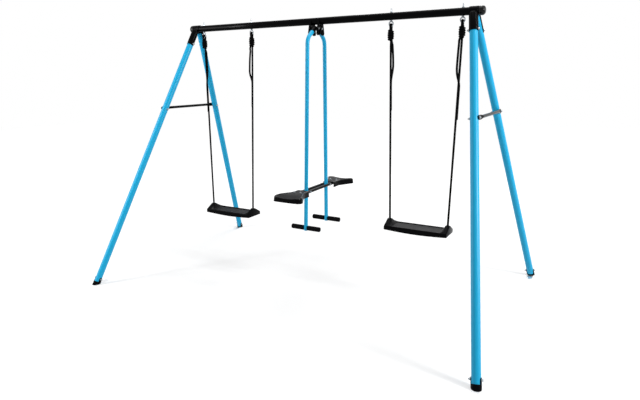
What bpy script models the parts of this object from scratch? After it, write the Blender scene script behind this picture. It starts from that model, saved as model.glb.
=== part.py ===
"""Garden swing set: an A-frame with two rope swings and a face-to-face glider.

X runs along the top beam, Y from the front feet to the back feet, Z up.
The origin is on the ground, midway between the four feet. Lengths are in metres.
"""
import math

import bmesh
import bpy
from mathutils import Matrix, Vector

# Top beam and its caps
BEAM_HEIGHT = 1.900
BEAM_DIAMETER = 0.048
BEAM_WALL = 0.002
BEAM_OVERHANG = 0.047
CAP_WALL = 0.004
CAP_SKIRT = 0.015
CAP_DOME = 0.020

# Legs: where their axes meet the beam's axis and the ground
LEG_DIAMETER = 0.048
LEG_WALL = 0.0018
LEG_TOP_X = 1.072
LEG_TOP_Y = 0.017
LEG_FOOT_X = 1.399
LEG_FOOT_Y = 0.910
LEG_END_GAP = 0.008

# Corner brackets
BRACKET_WALL = 0.003
BRACKET_LENGTH = 0.138
BRACKET_WRAP = 0.009
BRACKET_BOLT_UP = 0.013
SADDLE_WALL = 0.0042
SADDLE_DEPTH = 0.008

# Cross bars between the legs of a pair
CROSS_BAR_HEIGHT = 1.2885
CROSS_BAR_DIAMETER = 0.020
CROSS_BAR_FLAT = 0.005
CROSS_BAR_FLAT_WIDTH = 0.028
CROSS_BAR_END = 0.016
CROSS_BAR_FLAT_RUN = 0.034
CROSS_BAR_TAPER = 0.050

# Feet
PLATE_THICKNESS = 0.004
PLATE_WIDTH = 0.040
PLATE_OUTER_REACH = 0.034
PLATE_INNER_REACH = 0.112
SHOE_WALL = 0.003
SHOE_SOLE = 0.004
SHOE_RISE = 0.004
SHOE_EAR_WIDTH = 0.024
FOOT_BOLT_HEIGHT = 0.042

# Fasteners
BOLT_DIAMETER = 0.008
BOLT_HEAD_DIAMETER = 0.0135
BOLT_HEAD_HEIGHT = 0.0055
BOLT_TAIL = 0.013

# Eye bolts in the beam
EYE_WIRE = 0.008
EYE_INNER_WIDTH = 0.019
EYE_INNER_HEIGHT = 0.021
EYE_COLLAR_DIAMETER = 0.018
EYE_COLLAR_HEIGHT = 0.004
EYE_STUB = 0.025

# Swings
SWING_X = 0.779
EYE_SPACING = 0.456
ROPE_DIAMETER = 0.014
ROPE_FROM_SEAT_END = 0.0145
LEFT_SEAT_TOP = 0.493
RIGHT_SEAT_TOP = 0.560
KNOT_DROP = 0.056
KNOT_HEIGHT = 0.080
KNOT_DIAMETER = 0.044
OUTER_TAIL_END = 1.252
INNER_TAIL_END = 1.301
TAIL_SIDE = 0.0154
OUTER_TAIL_BOW = 0.002
INNER_TAIL_BOW = 0.006
TAIL_CLOSE = 0.42
TAIL_TURN = -1.05
TAIL_START = 0.35
TAIL_FLICK = 0.003
STOP_KNOT_DIAMETER = 0.019

# Swing seat: a trough with a gable at each end, ribbed below
SEAT_LENGTH = 0.429
SEAT_DEPTH = 0.160
SEAT_HEIGHT = 0.062
SEAT_RIM_DROP = 0.034
SEAT_PANEL_DROP = 0.041
SEAT_BELLY = 0.009
SEAT_LIP = 0.012
SEAT_DRAFT = 0.003
SEAT_WALL = 0.004
SEAT_RIDGE_WIDTH = 0.020
SEAT_GABLE_RUN = 0.048
SEAT_RIDGE_RUN = 0.028

# Glider hanger: two pressed plates round the beam
HANGER_GAP = 0.052
HANGER_WEB = 0.004
HANGER_FLANGE = 0.014
HANGER_RIM = 0.0035
HANGER_ABOVE = 0.004
HANGER_COLLAR = 0.003
HANGER_LOBE_Y = 0.030
HANGER_LOBE_DROP = 0.080
HANGER_LOBE_RADIUS = 0.016
HANGER_PIVOT_Y = 0.026
PIVOT_BELOW_BEAM = 0.026

# Glider tubes
GLIDER_TUBE_DIAMETER = 0.028
GLIDER_TUBE_WALL = 0.0018
KNEE_Y = 0.124
KNEE_BELOW_PIVOT = 0.072
KNEE_RADIUS = 0.075
TUBE_FOOT_Y = 0.159
TUBE_FOOT_HEIGHT = 0.432
TUBE_PAST_PIVOT = 0.012
BEARING_DIAMETER = 0.021
SLEEVE_LENGTH = 0.041
SLEEVE_WALL = 0.0022
PIVOT_SLACK = 0.0046

# Footrests
FOOTREST_UP = 0.019
FOOTREST_BAR_DIAMETER = 0.012
FOOTREST_LENGTH = 0.231
GRIP_DIAMETER = 0.035
GRIP_ROUND = 0.006

# Seat rails and glider seats
RAIL_HEIGHT = 0.718
RAIL_DIAMETER = 0.020
RAIL_WALL = 0.0016
RAIL_HALF_LENGTH = 0.350
SADDLE_INNER_Y = 0.190
SADDLE_OUTER_Y = 0.434
SADDLE_OUTER_WIDTH = 0.246
SADDLE_INNER_WIDTH = 0.098
SADDLE_SKIRT = 0.041
SADDLE_RIM = 0.008
SADDLE_ROLL = 0.030
SADDLE_SHELL = 0.005
SADDLE_DROOP = 0.013
SADDLE_NECK = 0.34
SADDLE_CORNER = 0.026

# Clearances between neighbouring pieces
FIT_GAP = 0.0004
HOLE_GAP = 0.0005
RUN_GAP = 0.0008
ROPE_HOLE_GAP = 0.0012
ROPE_LOOP_GAP = 0.0012
CUT_PAST = 0.030

# Roundness, and a small turn that keeps drilled edges off the pieces' own edges
BIG_ROUND = 20
SMALL_ROUND = 8
ARC_STEPS = 5
DRILL_TWIST = 0.11

# Derived sizes
BEAM_R = BEAM_DIAMETER / 2
BEAM_HALF = LEG_TOP_X + BEAM_OVERHANG
LEG_R = LEG_DIAMETER / 2
BOLT_R = BOLT_DIAMETER / 2
ROPE_R = ROPE_DIAMETER / 2
GLIDER_R = GLIDER_TUBE_DIAMETER / 2
LEG_LEAN = math.atan2(LEG_FOOT_X - LEG_TOP_X, BEAM_HEIGHT)
LEG_PLANE_HEIGHT = math.hypot(LEG_FOOT_X - LEG_TOP_X, BEAM_HEIGHT)
LEG_SPREAD = math.atan2(LEG_FOOT_Y - LEG_TOP_Y, LEG_PLANE_HEIGHT)
LEG_RUN = LEG_PLANE_HEIGHT / math.cos(LEG_SPREAD)
LEG_SLOPE = BEAM_HEIGHT / LEG_RUN
LEG_TILT = math.acos(LEG_SLOPE)
LEG_TOP_RUN = BEAM_R + LEG_END_GAP - LEG_TOP_Y * math.sin(LEG_SPREAD)
SHOE_FLOOR = PLATE_THICKNESS + FIT_GAP
LEG_END_HEIGHT = SHOE_FLOOR + SHOE_SOLE + FIT_GAP + LEG_R * math.sin(LEG_TILT)
LEG_END_RUN = (BEAM_HEIGHT - LEG_END_HEIGHT) / LEG_SLOPE
BRACKET_R = LEG_R + FIT_GAP + BRACKET_WALL
EYE_WIRE_R = EYE_WIRE / 2
EYE_RING_RADIUS = (EYE_INNER_WIDTH + EYE_WIRE) / 2
EYE_RING_STRAIGHT = EYE_INNER_HEIGHT - EYE_INNER_WIDTH
EYE_RING_TOP = BEAM_HEIGHT - BEAM_R - FIT_GAP - EYE_COLLAR_HEIGHT - EYE_WIRE_R
SWING_AXIS_HEIGHT = EYE_RING_TOP - EYE_RING_STRAIGHT - 2 * EYE_RING_RADIUS
ROPE_SPACING_AT_SEAT = SEAT_LENGTH - 2 * ROPE_FROM_SEAT_END
PIVOT_HEIGHT = BEAM_HEIGHT - BEAM_R - PIVOT_BELOW_BEAM
KNEE_HEIGHT = PIVOT_HEIGHT - KNEE_BELOW_PIVOT
TUBE_SPLAY = (TUBE_FOOT_Y - KNEE_Y) / (KNEE_HEIGHT - TUBE_FOOT_HEIGHT)
RAIL_PIVOT_Y = KNEE_Y + TUBE_SPLAY * (KNEE_HEIGHT - RAIL_HEIGHT)
FOOTREST_HEIGHT = TUBE_FOOT_HEIGHT + FOOTREST_UP
FOOTREST_Y = KNEE_Y + TUBE_SPLAY * (KNEE_HEIGHT - FOOTREST_HEIGHT)
RAIL_R = RAIL_DIAMETER / 2
RAIL_X = GLIDER_R + RUN_GAP + RAIL_R
SADDLE_PANEL = RAIL_HEIGHT + RAIL_R + FIT_GAP + SADDLE_SHELL

TURN_Z_TO_X = Matrix.Rotation(math.pi / 2, 4, "Y")
TURN_PLAN_TO_YZ = Matrix(((0, 0, 1), (1, 0, 0), (0, 1, 0))).to_4x4()
TURN_PLAN_TO_LEG = Matrix(((0, 0, -1), (0, 1, 0), (1, 0, 0))).to_4x4()


def clear_scene():
    """Remove every object, so that the model is built in an empty scene."""
    for item in list(bpy.data.objects):
        bpy.data.objects.remove(item, do_unlink=True)


def finish(name, colour, roughness, metallic):
    """Return a Principled material of one colour."""
    material = bpy.data.materials.new(name)
    material.use_nodes = True
    shader = material.node_tree.nodes["Principled BSDF"]
    shader.inputs["Base Color"].default_value = (*colour, 1.0)
    shader.inputs["Roughness"].default_value = roughness
    shader.inputs["Metallic"].default_value = metallic
    return material


def to_mesh(bm, name):
    """Close the bmesh and return its mesh, faces out, shaded smooth up to 40 degrees."""
    bmesh.ops.recalc_face_normals(bm, faces=bm.faces)
    mesh = bpy.data.meshes.new(name)
    bm.to_mesh(mesh)
    bm.free()
    mesh.shade_smooth()
    mesh.set_sharp_from_angle(angle=math.radians(40))
    return mesh


def turned(profile, segments, closed=False):
    """Spin a profile of (radius, height) points round Z."""
    bm = bmesh.new()
    verts = [bm.verts.new((radius, 0.0, height)) for radius, height in profile]
    pairs = list(zip(verts, verts[1:]))
    if closed:
        pairs.append((verts[-1], verts[0]))
    edges = [bm.edges.new(pair) for pair in pairs]
    bmesh.ops.spin(bm, geom=verts + edges, cent=(0, 0, 0), axis=(0, 0, 1),
                   angle=2 * math.pi, steps=segments, use_merge=True)
    bmesh.ops.remove_doubles(bm, verts=bm.verts, dist=1e-6)
    return to_mesh(bm, "turned")


def rod(radius, start, end, segments=SMALL_ROUND):
    """Return a solid round bar along Z."""
    return turned([(0, start), (radius, start), (radius, end), (0, end)], segments)


def drill(radius, start, end, segments=SMALL_ROUND):
    """Return a round cutter along Z, turned a little about its axis."""
    mesh = rod(radius, start, end, segments)
    mesh.transform(Matrix.Rotation(DRILL_TWIST, 4, "Z"))
    return mesh


def pipe(radius, wall, start, end, segments=BIG_ROUND):
    """Return a tube along Z, open at both ends."""
    inner = radius - wall
    profile = [(inner, start), (radius, start), (radius, end), (inner, end)]
    return turned(profile, segments, closed=True)


def bolt(grip, tail=BOLT_TAIL, radius=BOLT_R):
    """Return a bolt along -Z: head above zero, shank through the grip, then the tail."""
    head = BOLT_HEAD_DIAMETER / 2
    profile = [
        (0, BOLT_HEAD_HEIGHT),
        (head * 0.8, BOLT_HEAD_HEIGHT),
        (head, BOLT_HEAD_HEIGHT * 0.6),
        (head, 0),
        (radius, 0),
        (radius, -grip - tail),
        (0, -grip - tail),
    ]
    return turned(profile, SMALL_ROUND)


def prism(outline, low, high):
    """Extrude an outline of (x, y) points from one height to another."""
    bm = bmesh.new()
    face = bm.faces.new([bm.verts.new((x, y, low)) for x, y in outline])
    grown = bmesh.ops.extrude_face_region(bm, geom=[face])["geom"]
    moved = [item for item in grown if isinstance(item, bmesh.types.BMVert)]
    bmesh.ops.translate(bm, verts=moved, vec=(0, 0, high - low))
    return to_mesh(bm, "prism")


def block(low, high):
    """Return a box between two corners."""
    outline = [(low[0], low[1]), (high[0], low[1]), (high[0], high[1]), (low[0], high[1])]
    return prism(outline, low[2], high[2])


def lofted(sections):
    """Bridge a row of closed sections and cap both ends."""
    bm = bmesh.new()
    loops = []
    for section in sections:
        verts = [bm.verts.new(point) for point in section]
        loops.append(verts)
    for near, far in zip(loops, loops[1:]):
        count = len(near)
        for i in range(count):
            j = (i + 1) % count
            bm.faces.new((near[i], near[j], far[j], far[i]))
    bm.faces.new(loops[0])
    bm.faces.new(loops[-1])
    return to_mesh(bm, "lofted")


def curve_tube(points, radius, resolution, cyclic=False):
    """Return a round tube along a path, its ends filled."""
    curve = bpy.data.curves.new("path", "CURVE")
    curve.dimensions = "3D"
    curve.bevel_depth = radius
    curve.bevel_resolution = resolution
    curve.use_fill_caps = True
    spline = curve.splines.new("POLY")
    spline.points.add(len(points) - 1)
    spline.use_cyclic_u = cyclic
    for knot, point in zip(spline.points, points):
        knot.co = (*point, 1.0)
    holder = bpy.data.objects.new("path", curve)
    bpy.context.scene.collection.objects.link(holder)
    depsgraph = bpy.context.evaluated_depsgraph_get()
    swept = bpy.data.meshes.new_from_object(holder.evaluated_get(depsgraph))
    bpy.data.objects.remove(holder, do_unlink=True)
    bm = bmesh.new()
    bm.from_mesh(swept)
    bmesh.ops.remove_doubles(bm, verts=bm.verts, dist=1e-6)
    return to_mesh(bm, "tube")


def bent_pipe(path, radius, wall, segments):
    """Return a tube along a path of (y, z) points, open at both ends."""
    bm = bmesh.new()
    spots = [Vector(point) for point in path]
    shells = []
    for shell_radius in (radius, radius - wall):
        rings = []
        for i, spot in enumerate(spots):
            before = spots[max(i - 1, 0)]
            after = spots[min(i + 1, len(spots) - 1)]
            side = (after - before).normalized().orthogonal()
            ring = []
            for k in range(segments):
                angle = 2 * math.pi * (k + 0.5) / segments
                off = side * shell_radius * math.sin(angle)
                ring.append(bm.verts.new((shell_radius * math.cos(angle), spot.x + off.x, spot.y + off.y)))
            rings.append(ring)
        shells.append(rings)
    outer, inner = shells
    strips = list(zip(outer, outer[1:])) + list(zip(inner[1:], inner))
    strips += [(inner[0], outer[0]), (outer[-1], inner[-1])]
    for near, far in strips:
        for i in range(segments):
            j = (i + 1) % segments
            bm.faces.new((near[i], near[j], far[j], far[i]))
    return to_mesh(bm, "bent pipe")


def arc(centre, radius, start, end, steps):
    """Return points on an arc in a plane, both ends included."""
    angles = [start + (end - start) * i / steps for i in range(steps + 1)]
    return [(centre[0] + radius * math.cos(a), centre[1] + radius * math.sin(a)) for a in angles]


def tapered_link(near, near_radius, far, far_radius, steps=ARC_STEPS):
    """Return the outline round two circles joined by their outer tangents."""
    reach = math.dist(near, far)
    heading = math.atan2(far[1] - near[1], far[0] - near[0])
    tilt = math.acos((near_radius - far_radius) / reach)
    outline = arc(far, far_radius, heading - tilt, heading + tilt, steps)
    outline += arc(near, near_radius, heading + tilt, heading + 2 * math.pi - tilt, steps)
    return outline


def rounded_corner(start, corner, end, radius, steps):
    """Return the points of a corner rounded with a radius, in a plane."""
    here = Vector(corner)
    back = (Vector(start) - here).normalized()
    ahead = (Vector(end) - here).normalized()
    half = back.angle(ahead) / 2
    centre = here + (back + ahead).normalized() * radius / math.sin(half)
    first = here + back * radius / math.tan(half) - centre
    turn = math.pi - 2 * half
    side = 1 if first.x * ahead.y - first.y * ahead.x > 0 else -1
    points = []
    for i in range(steps + 1):
        spoke = Matrix.Rotation(side * turn * i / steps, 2) @ first
        points.append(centre + spoke)
    return points


def put(item, world, parent):
    """Place an object in the world, under an empty that is not turned."""
    item.parent = parent
    item.matrix_basis = world if parent is None else Matrix.Translation(-parent.location) @ world


def add(name, mesh, material, world=None, parent=None):
    """Add a named piece with its material."""
    item = bpy.data.objects.new(name, mesh)
    item.data.materials.append(material)
    bpy.context.scene.collection.objects.link(item)
    put(item, world or Matrix.Identity(4), parent)
    return item


def shape_with(item, mesh, operation, world=None):
    """Cut, join or trim a piece with a hidden shape, which is returned."""
    tool = bpy.data.objects.new(item.name + ".tool", mesh)
    tool.hide_render = True
    tool.display_type = "WIRE"
    bpy.context.scene.collection.objects.link(tool)
    put(tool, world or Matrix.Identity(4), item.parent)
    step = item.modifiers.new("shape", "BOOLEAN")
    step.operation = operation
    step.solver = "EXACT"
    step.object = tool
    return tool


def axis_empty(name, location):
    """Add an empty on a joint's axis."""
    empty = bpy.data.objects.new(name, None)
    empty.location = location
    bpy.context.scene.collection.objects.link(empty)
    return empty


def side_frame(side):
    """Return the frame of a pair of legs: X out of their plane, Z up along it."""
    half_turn = 0.0 if side > 0 else math.pi
    place = Matrix.Translation((side * LEG_TOP_X, 0, BEAM_HEIGHT))
    return place @ Matrix.Rotation(half_turn, 4, "Z") @ Matrix.Rotation(-LEG_LEAN, 4, "Y")


def leg_frame(side, end):
    """Return the frame of one leg: Z up along its axis, zero level with the beam's axis."""
    shift = Matrix.Translation((0, end * LEG_TOP_Y, 0))
    return side_frame(side) @ shift @ Matrix.Rotation(end * LEG_SPREAD, 4, "X")


def run_at_height(height):
    """Return how far down a leg's axis a height lies."""
    return (BEAM_HEIGHT - height) / LEG_SLOPE


def corner_names():
    """Yield side, end and name of the four corners."""
    for side in (-1, 1):
        for end in (-1, 1):
            side_word = "left" if side < 0 else "right"
            end_word = "front" if side * end < 0 else "back"
            yield side, end, side_word + "_" + end_word


def build_beam(black, plastic):
    """Build the top beam and its two domed caps."""
    along = Matrix.Translation((0, 0, BEAM_HEIGHT)) @ TURN_Z_TO_X
    beam = add("top_beam", pipe(BEAM_R, BEAM_WALL, -BEAM_HALF, BEAM_HALF), black, along)
    for x in eye_positions():
        hole = drill(EYE_WIRE_R + HOLE_GAP, -BEAM_R - CUT_PAST, BEAM_R + CUT_PAST)
        shape_with(beam, hole, "DIFFERENCE", Matrix.Translation((x, 0, BEAM_HEIGHT)))
    inner = BEAM_R + FIT_GAP
    outer = inner + CAP_WALL
    profile = [(0, FIT_GAP), (inner, FIT_GAP), (inner, -CAP_SKIRT), (outer, -CAP_SKIRT)]
    corner = CAP_DOME * 0.95
    profile += arc((outer - corner, CAP_DOME - corner), corner, 0, math.pi / 2, ARC_STEPS) + [(0, CAP_DOME)]
    for side, word in ((-1, "left"), (1, "right")):
        face = Matrix.Rotation(0 if side > 0 else math.pi, 4, "Z") @ TURN_Z_TO_X
        world = Matrix.Translation((side * BEAM_HALF, 0, BEAM_HEIGHT)) @ face
        add("beam_cap_" + word, turned(profile, BIG_ROUND), plastic, world)


def build_brackets(plastic, zinc):
    """Build the two corner brackets: half pipes on the legs under a saddle on the beam."""
    dome = BRACKET_R * 0.55
    top = -LEG_TOP_RUN + dome
    arm_profile = [(0, -BRACKET_LENGTH), (BRACKET_R, -BRACKET_LENGTH), (BRACKET_R, top - dome)]
    arm_profile += [(BRACKET_R * 0.93, top - dome * 0.4), (BRACKET_R * 0.74, top), (0, top + dome * 0.3)]
    for side, word in ((-1, "left"), (1, "right")):
        frame = side_frame(side)
        saddle = pipe(BEAM_R + FIT_GAP + SADDLE_WALL, SADDLE_WALL, -BRACKET_R, BRACKET_R)
        on_beam = Matrix.Translation((side * LEG_TOP_X, 0, BEAM_HEIGHT)) @ TURN_Z_TO_X
        bracket = add("corner_bracket_" + word, saddle, plastic, on_beam)
        reach = 2 * BRACKET_R
        under = block((-reach, -reach, -reach), (reach, reach, -SADDLE_DEPTH))
        shape_with(bracket, under, "DIFFERENCE", Matrix.Translation(on_beam.to_translation()))
        for end in (-1, 1):
            leg = leg_frame(side, end)
            arm = shape_with(bracket, turned(arm_profile, BIG_ROUND), "UNION", leg)
            inner = sorted((-end * BRACKET_WRAP, -end * reach))
            open_side = block((-reach, inner[0], -reach - BRACKET_LENGTH), (reach, inner[1], reach))
            shape_with(arm, open_side, "DIFFERENCE", leg)
        for end in (-1, 1):
            leg = leg_frame(side, end)
            bore = drill(LEG_R + FIT_GAP, -BRACKET_LENGTH - CUT_PAST, -LEG_TOP_RUN + FIT_GAP, BIG_ROUND)
            shape_with(bracket, bore, "DIFFERENCE", leg)
            hole = drill(BOLT_R + HOLE_GAP, -BRACKET_R - CUT_PAST, BRACKET_R + CUT_PAST)
            shape_with(bracket, hole, "DIFFERENCE", leg @ bracket_bolt_shift() @ TURN_Z_TO_X)
        beam_bore = drill(BEAM_R + FIT_GAP, -reach, reach, BIG_ROUND)
        shape_with(bracket, beam_bore, "DIFFERENCE", on_beam)
    for side, end, corner in corner_names():
        outside = Matrix.Translation((BRACKET_R + FIT_GAP, 0, 0))
        world = leg_frame(side, end) @ bracket_bolt_shift() @ outside @ TURN_Z_TO_X
        add("bracket_bolt_" + corner, bolt(2 * BRACKET_R), zinc, world)


def bracket_bolt_shift():
    """Return the place of the bracket's bolt on a leg."""
    return Matrix.Translation((0, 0, -BRACKET_LENGTH + BRACKET_BOLT_UP))


def foot_bolt_shift():
    """Return the place of the foot's bolt on a leg."""
    return Matrix.Translation((0, 0, -run_at_height(FOOT_BOLT_HEIGHT)))


def cross_bar_shift():
    """Return the place of the cross bar's bolt on a leg."""
    return Matrix.Translation((0, 0, -run_at_height(CROSS_BAR_HEIGHT)))


def build_legs(blue):
    """Build the four legs with the holes for their bolts."""
    for side, end, corner in corner_names():
        leg = leg_frame(side, end)
        tube = pipe(LEG_R, LEG_WALL, -LEG_END_RUN, -LEG_TOP_RUN)
        item = add("leg_" + corner, tube, blue, leg)
        for shift in (bracket_bolt_shift(), cross_bar_shift(), foot_bolt_shift()):
            hole = drill(BOLT_R + HOLE_GAP, -LEG_R - CUT_PAST, LEG_R + CUT_PAST)
            shape_with(item, hole, "DIFFERENCE", leg @ shift @ TURN_Z_TO_X)


def cross_bar_section(y, thick, wide):
    """Return an oval section of the cross bar, across Y."""
    angles = [2 * math.pi * i / SMALL_ROUND for i in range(SMALL_ROUND)]
    return [(thick * math.cos(a), y, wide * math.sin(a)) for a in angles]


def build_cross_bars(black, zinc):
    """Build the cross bars: round tubes whose ends are pressed flat and bolted on."""
    plane_drop = (BEAM_HEIGHT - CROSS_BAR_HEIGHT) / math.cos(LEG_LEAN)
    leg_y = LEG_TOP_Y + math.tan(LEG_SPREAD) * plane_drop
    flat = CROSS_BAR_FLAT / 2
    wide = CROSS_BAR_FLAT_WIDTH / 2
    round_r = CROSS_BAR_DIAMETER / 2
    flat_end = leg_y - CROSS_BAR_FLAT_RUN
    stations = [
        (leg_y + CROSS_BAR_END, flat, wide * 0.5),
        (leg_y + CROSS_BAR_END * 0.7, flat, wide * 0.86),
        (leg_y + CROSS_BAR_END * 0.3, flat, wide),
        (flat_end, flat, wide),
        (flat_end - CROSS_BAR_TAPER * 0.5, (flat + round_r) / 2, (wide + round_r) / 2),
        (flat_end - CROSS_BAR_TAPER, round_r, round_r),
    ]
    sections = [cross_bar_section(-y, thick, span) for y, thick, span in stations]
    sections += [cross_bar_section(y, thick, span) for y, thick, span in reversed(stations)]
    offset = LEG_R + FIT_GAP + flat
    for side, word in ((-1, "left"), (1, "right")):
        frame = side_frame(side) @ Matrix.Translation((offset, 0, -plane_drop))
        bar = add("cross_bar_" + word, lofted(sections), black, frame)
        for end in (-1, 1):
            hole = drill(BOLT_R + HOLE_GAP, -CUT_PAST, CUT_PAST)
            shape_with(bar, hole, "DIFFERENCE", frame @ Matrix.Translation((0, end * leg_y, 0)) @ TURN_Z_TO_X)
    for side, end, corner in corner_names():
        outside = Matrix.Translation((LEG_R + CROSS_BAR_FLAT + 2 * FIT_GAP, 0, 0))
        world = leg_frame(side, end) @ cross_bar_shift() @ outside @ TURN_Z_TO_X
        add("cross_bar_bolt_" + corner, bolt(2 * LEG_R + CROSS_BAR_FLAT), zinc, world)


def build_feet(plastic, zinc):
    """Build shoes, ground plates and foot bolts."""
    shoe_r = LEG_R + FIT_GAP + SHOE_WALL
    top = -LEG_END_RUN + SHOE_RISE
    ear_top = -run_at_height(FOOT_BOLT_HEIGHT)
    ear_r = SHOE_EAR_WIDTH / 2
    reach = 4 * shoe_r
    for side, end, corner in corner_names():
        leg = leg_frame(side, end)
        foot = Matrix.Translation((side * LEG_FOOT_X, side * end * LEG_FOOT_Y, 0))
        blank = rod(shoe_r, -LEG_RUN - reach, ear_top + 2 * ear_r, BIG_ROUND)
        shoe = add("foot_shoe_" + corner, blank, plastic, leg)
        above = block((-reach, -reach, top), (reach, reach, ear_top + reach))
        trim = shape_with(shoe, above, "DIFFERENCE", leg)
        outline = arc((ear_top, 0), ear_r, math.pi / 2, -math.pi / 2, ARC_STEPS)
        outline += [(top - shoe_r, -ear_r), (top - shoe_r, ear_r)]
        shape_with(trim, prism(outline, -2 * reach, 2 * reach), "DIFFERENCE", leg @ TURN_PLAN_TO_LEG)
        shape_with(shoe, block((-reach, -reach, -2 * reach), (reach, reach, SHOE_FLOOR)), "DIFFERENCE", foot)
        bore = drill(LEG_R + FIT_GAP, -LEG_END_RUN - FIT_GAP, ear_top + reach, BIG_ROUND)
        shape_with(shoe, bore, "DIFFERENCE", leg)
        across = leg @ foot_bolt_shift() @ TURN_Z_TO_X
        shape_with(shoe, drill(BOLT_R + HOLE_GAP, -reach, reach), "DIFFERENCE", across)
        inward = foot @ Matrix.Rotation(0 if side * end < 0 else math.pi, 4, "Z")
        add("ground_plate_" + corner, ground_plate_mesh(), zinc, inward)
        outside = Matrix.Translation((shoe_r + FIT_GAP, 0, 0))
        world = leg @ foot_bolt_shift() @ outside @ TURN_Z_TO_X
        add("foot_bolt_" + corner, bolt(2 * shoe_r), zinc, world)


def ground_plate_mesh():
    """Return the flat ground plate, its inner end round, pointing along +Y."""
    half = PLATE_WIDTH / 2
    outline = [(-half, -PLATE_OUTER_REACH), (half, -PLATE_OUTER_REACH)]
    outline += arc((0, PLATE_INNER_REACH - half), half, 0, math.pi, ARC_STEPS)
    return prism(outline, 0, PLATE_THICKNESS)


def eye_positions():
    """Return the places of the four eye bolts along the beam."""
    half = EYE_SPACING / 2
    return [-SWING_X - half, -SWING_X + half, SWING_X - half, SWING_X + half]


def build_eye_bolts(zinc):
    """Build the eye bolts: an oval ring under the beam on a shank through it."""
    low = SWING_AXIS_HEIGHT + EYE_RING_RADIUS
    high = low + EYE_RING_STRAIGHT
    ring = arc((0, low), EYE_RING_RADIUS, math.pi, 2 * math.pi, ARC_STEPS)
    ring += arc((0, high), EYE_RING_RADIUS, 0, math.pi, ARC_STEPS)
    points = [(x, 0, z) for x, z in ring]
    collar = EYE_COLLAR_DIAMETER / 2
    seat = BEAM_HEIGHT - BEAM_R - FIT_GAP
    tip = BEAM_HEIGHT + BEAM_R + EYE_STUB
    profile = [
        (0, EYE_RING_TOP),
        (collar * 0.8, EYE_RING_TOP),
        (collar, seat - EYE_COLLAR_HEIGHT * 0.5),
        (collar, seat),
        (EYE_WIRE_R, seat),
        (EYE_WIRE_R, tip - EYE_WIRE_R * 0.3),
        (EYE_WIRE_R * 0.7, tip),
        (0, tip),
    ]
    words = ("left_outer", "left_inner", "right_inner", "right_outer")
    for x, word in zip(eye_positions(), words):
        place = Matrix.Translation((x, 0, 0))
        item = add("eye_bolt_" + word, curve_tube(points, EYE_WIRE_R, 2, cyclic=True), zinc, place)
        shape_with(item, turned(profile, SMALL_ROUND), "UNION", place)


def rope_points(eye_x, seat_x, seat_top, tail_side, tail_end, bow):
    """Return the rope's path: tail, loop over the eye's wire, then down to the seat."""
    axis = SWING_AXIS_HEIGHT
    loop_r = EYE_WIRE_R + ROPE_R + ROPE_LOOP_GAP
    strand = ROPE_R + HOLE_GAP
    knot_low = axis - KNOT_DROP - KNOT_HEIGHT * 0.6
    tail_top = axis - KNOT_DROP - KNOT_HEIGHT * 0.8
    lean = (seat_x - eye_x) / (tail_top - seat_top)
    lean_y = strand * 0.6 / (tail_top - seat_top)
    start = -TAIL_START if tail_side > 0 else TAIL_START - math.pi
    points = []
    steps = 2 * ARC_STEPS
    for i in range(steps + 1):
        share = i / steps
        height = tail_end + (tail_top - tail_end) * share
        loose = max(0.0, (share - TAIL_CLOSE) / (1 - TAIL_CLOSE))
        beside = TAIL_SIDE + bow * math.sin(math.pi * loose) + TAIL_FLICK * max(0, 1 - 3 * share) ** 2
        ease = min(1.0, 2 * loose)
        turn = TAIL_TURN + (start - TAIL_TURN) * ease * ease * (3 - 2 * ease)
        rope_x = eye_x + lean * (tail_top - height)
        rope_y = lean_y * (height - seat_top)
        points.append((rope_x + beside * math.cos(turn), rope_y + beside * math.sin(turn), height))
    points.append((eye_x + tail_side * TAIL_SIDE * 0.8, -0.8 * strand, knot_low))
    points.append((eye_x, -strand, axis - KNOT_DROP))
    for i in range(ARC_STEPS + 1):
        angle = math.pi - math.pi * i / ARC_STEPS
        points.append((eye_x, loop_r * math.cos(angle), axis + loop_r * math.sin(angle)))
    points.append((eye_x, strand, axis - KNOT_DROP))
    points.append((eye_x, strand * 0.6, tail_top))
    points.append((seat_x, 0, seat_top))
    points.append((seat_x, 0, seat_top - SEAT_RIM_DROP))
    return points


def barrel(diameter, height):
    """Return a knot as a rounded barrel about its middle."""
    radius = diameter / 2
    profile = [(0, -height / 2)]
    for i in range(1, ARC_STEPS):
        angle = -math.pi / 2 + math.pi * i / ARC_STEPS
        profile.append((radius * math.cos(angle) ** 0.7, height / 2 * math.sin(angle)))
    profile.append((0, height / 2))
    return turned(profile, SMALL_ROUND)


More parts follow.
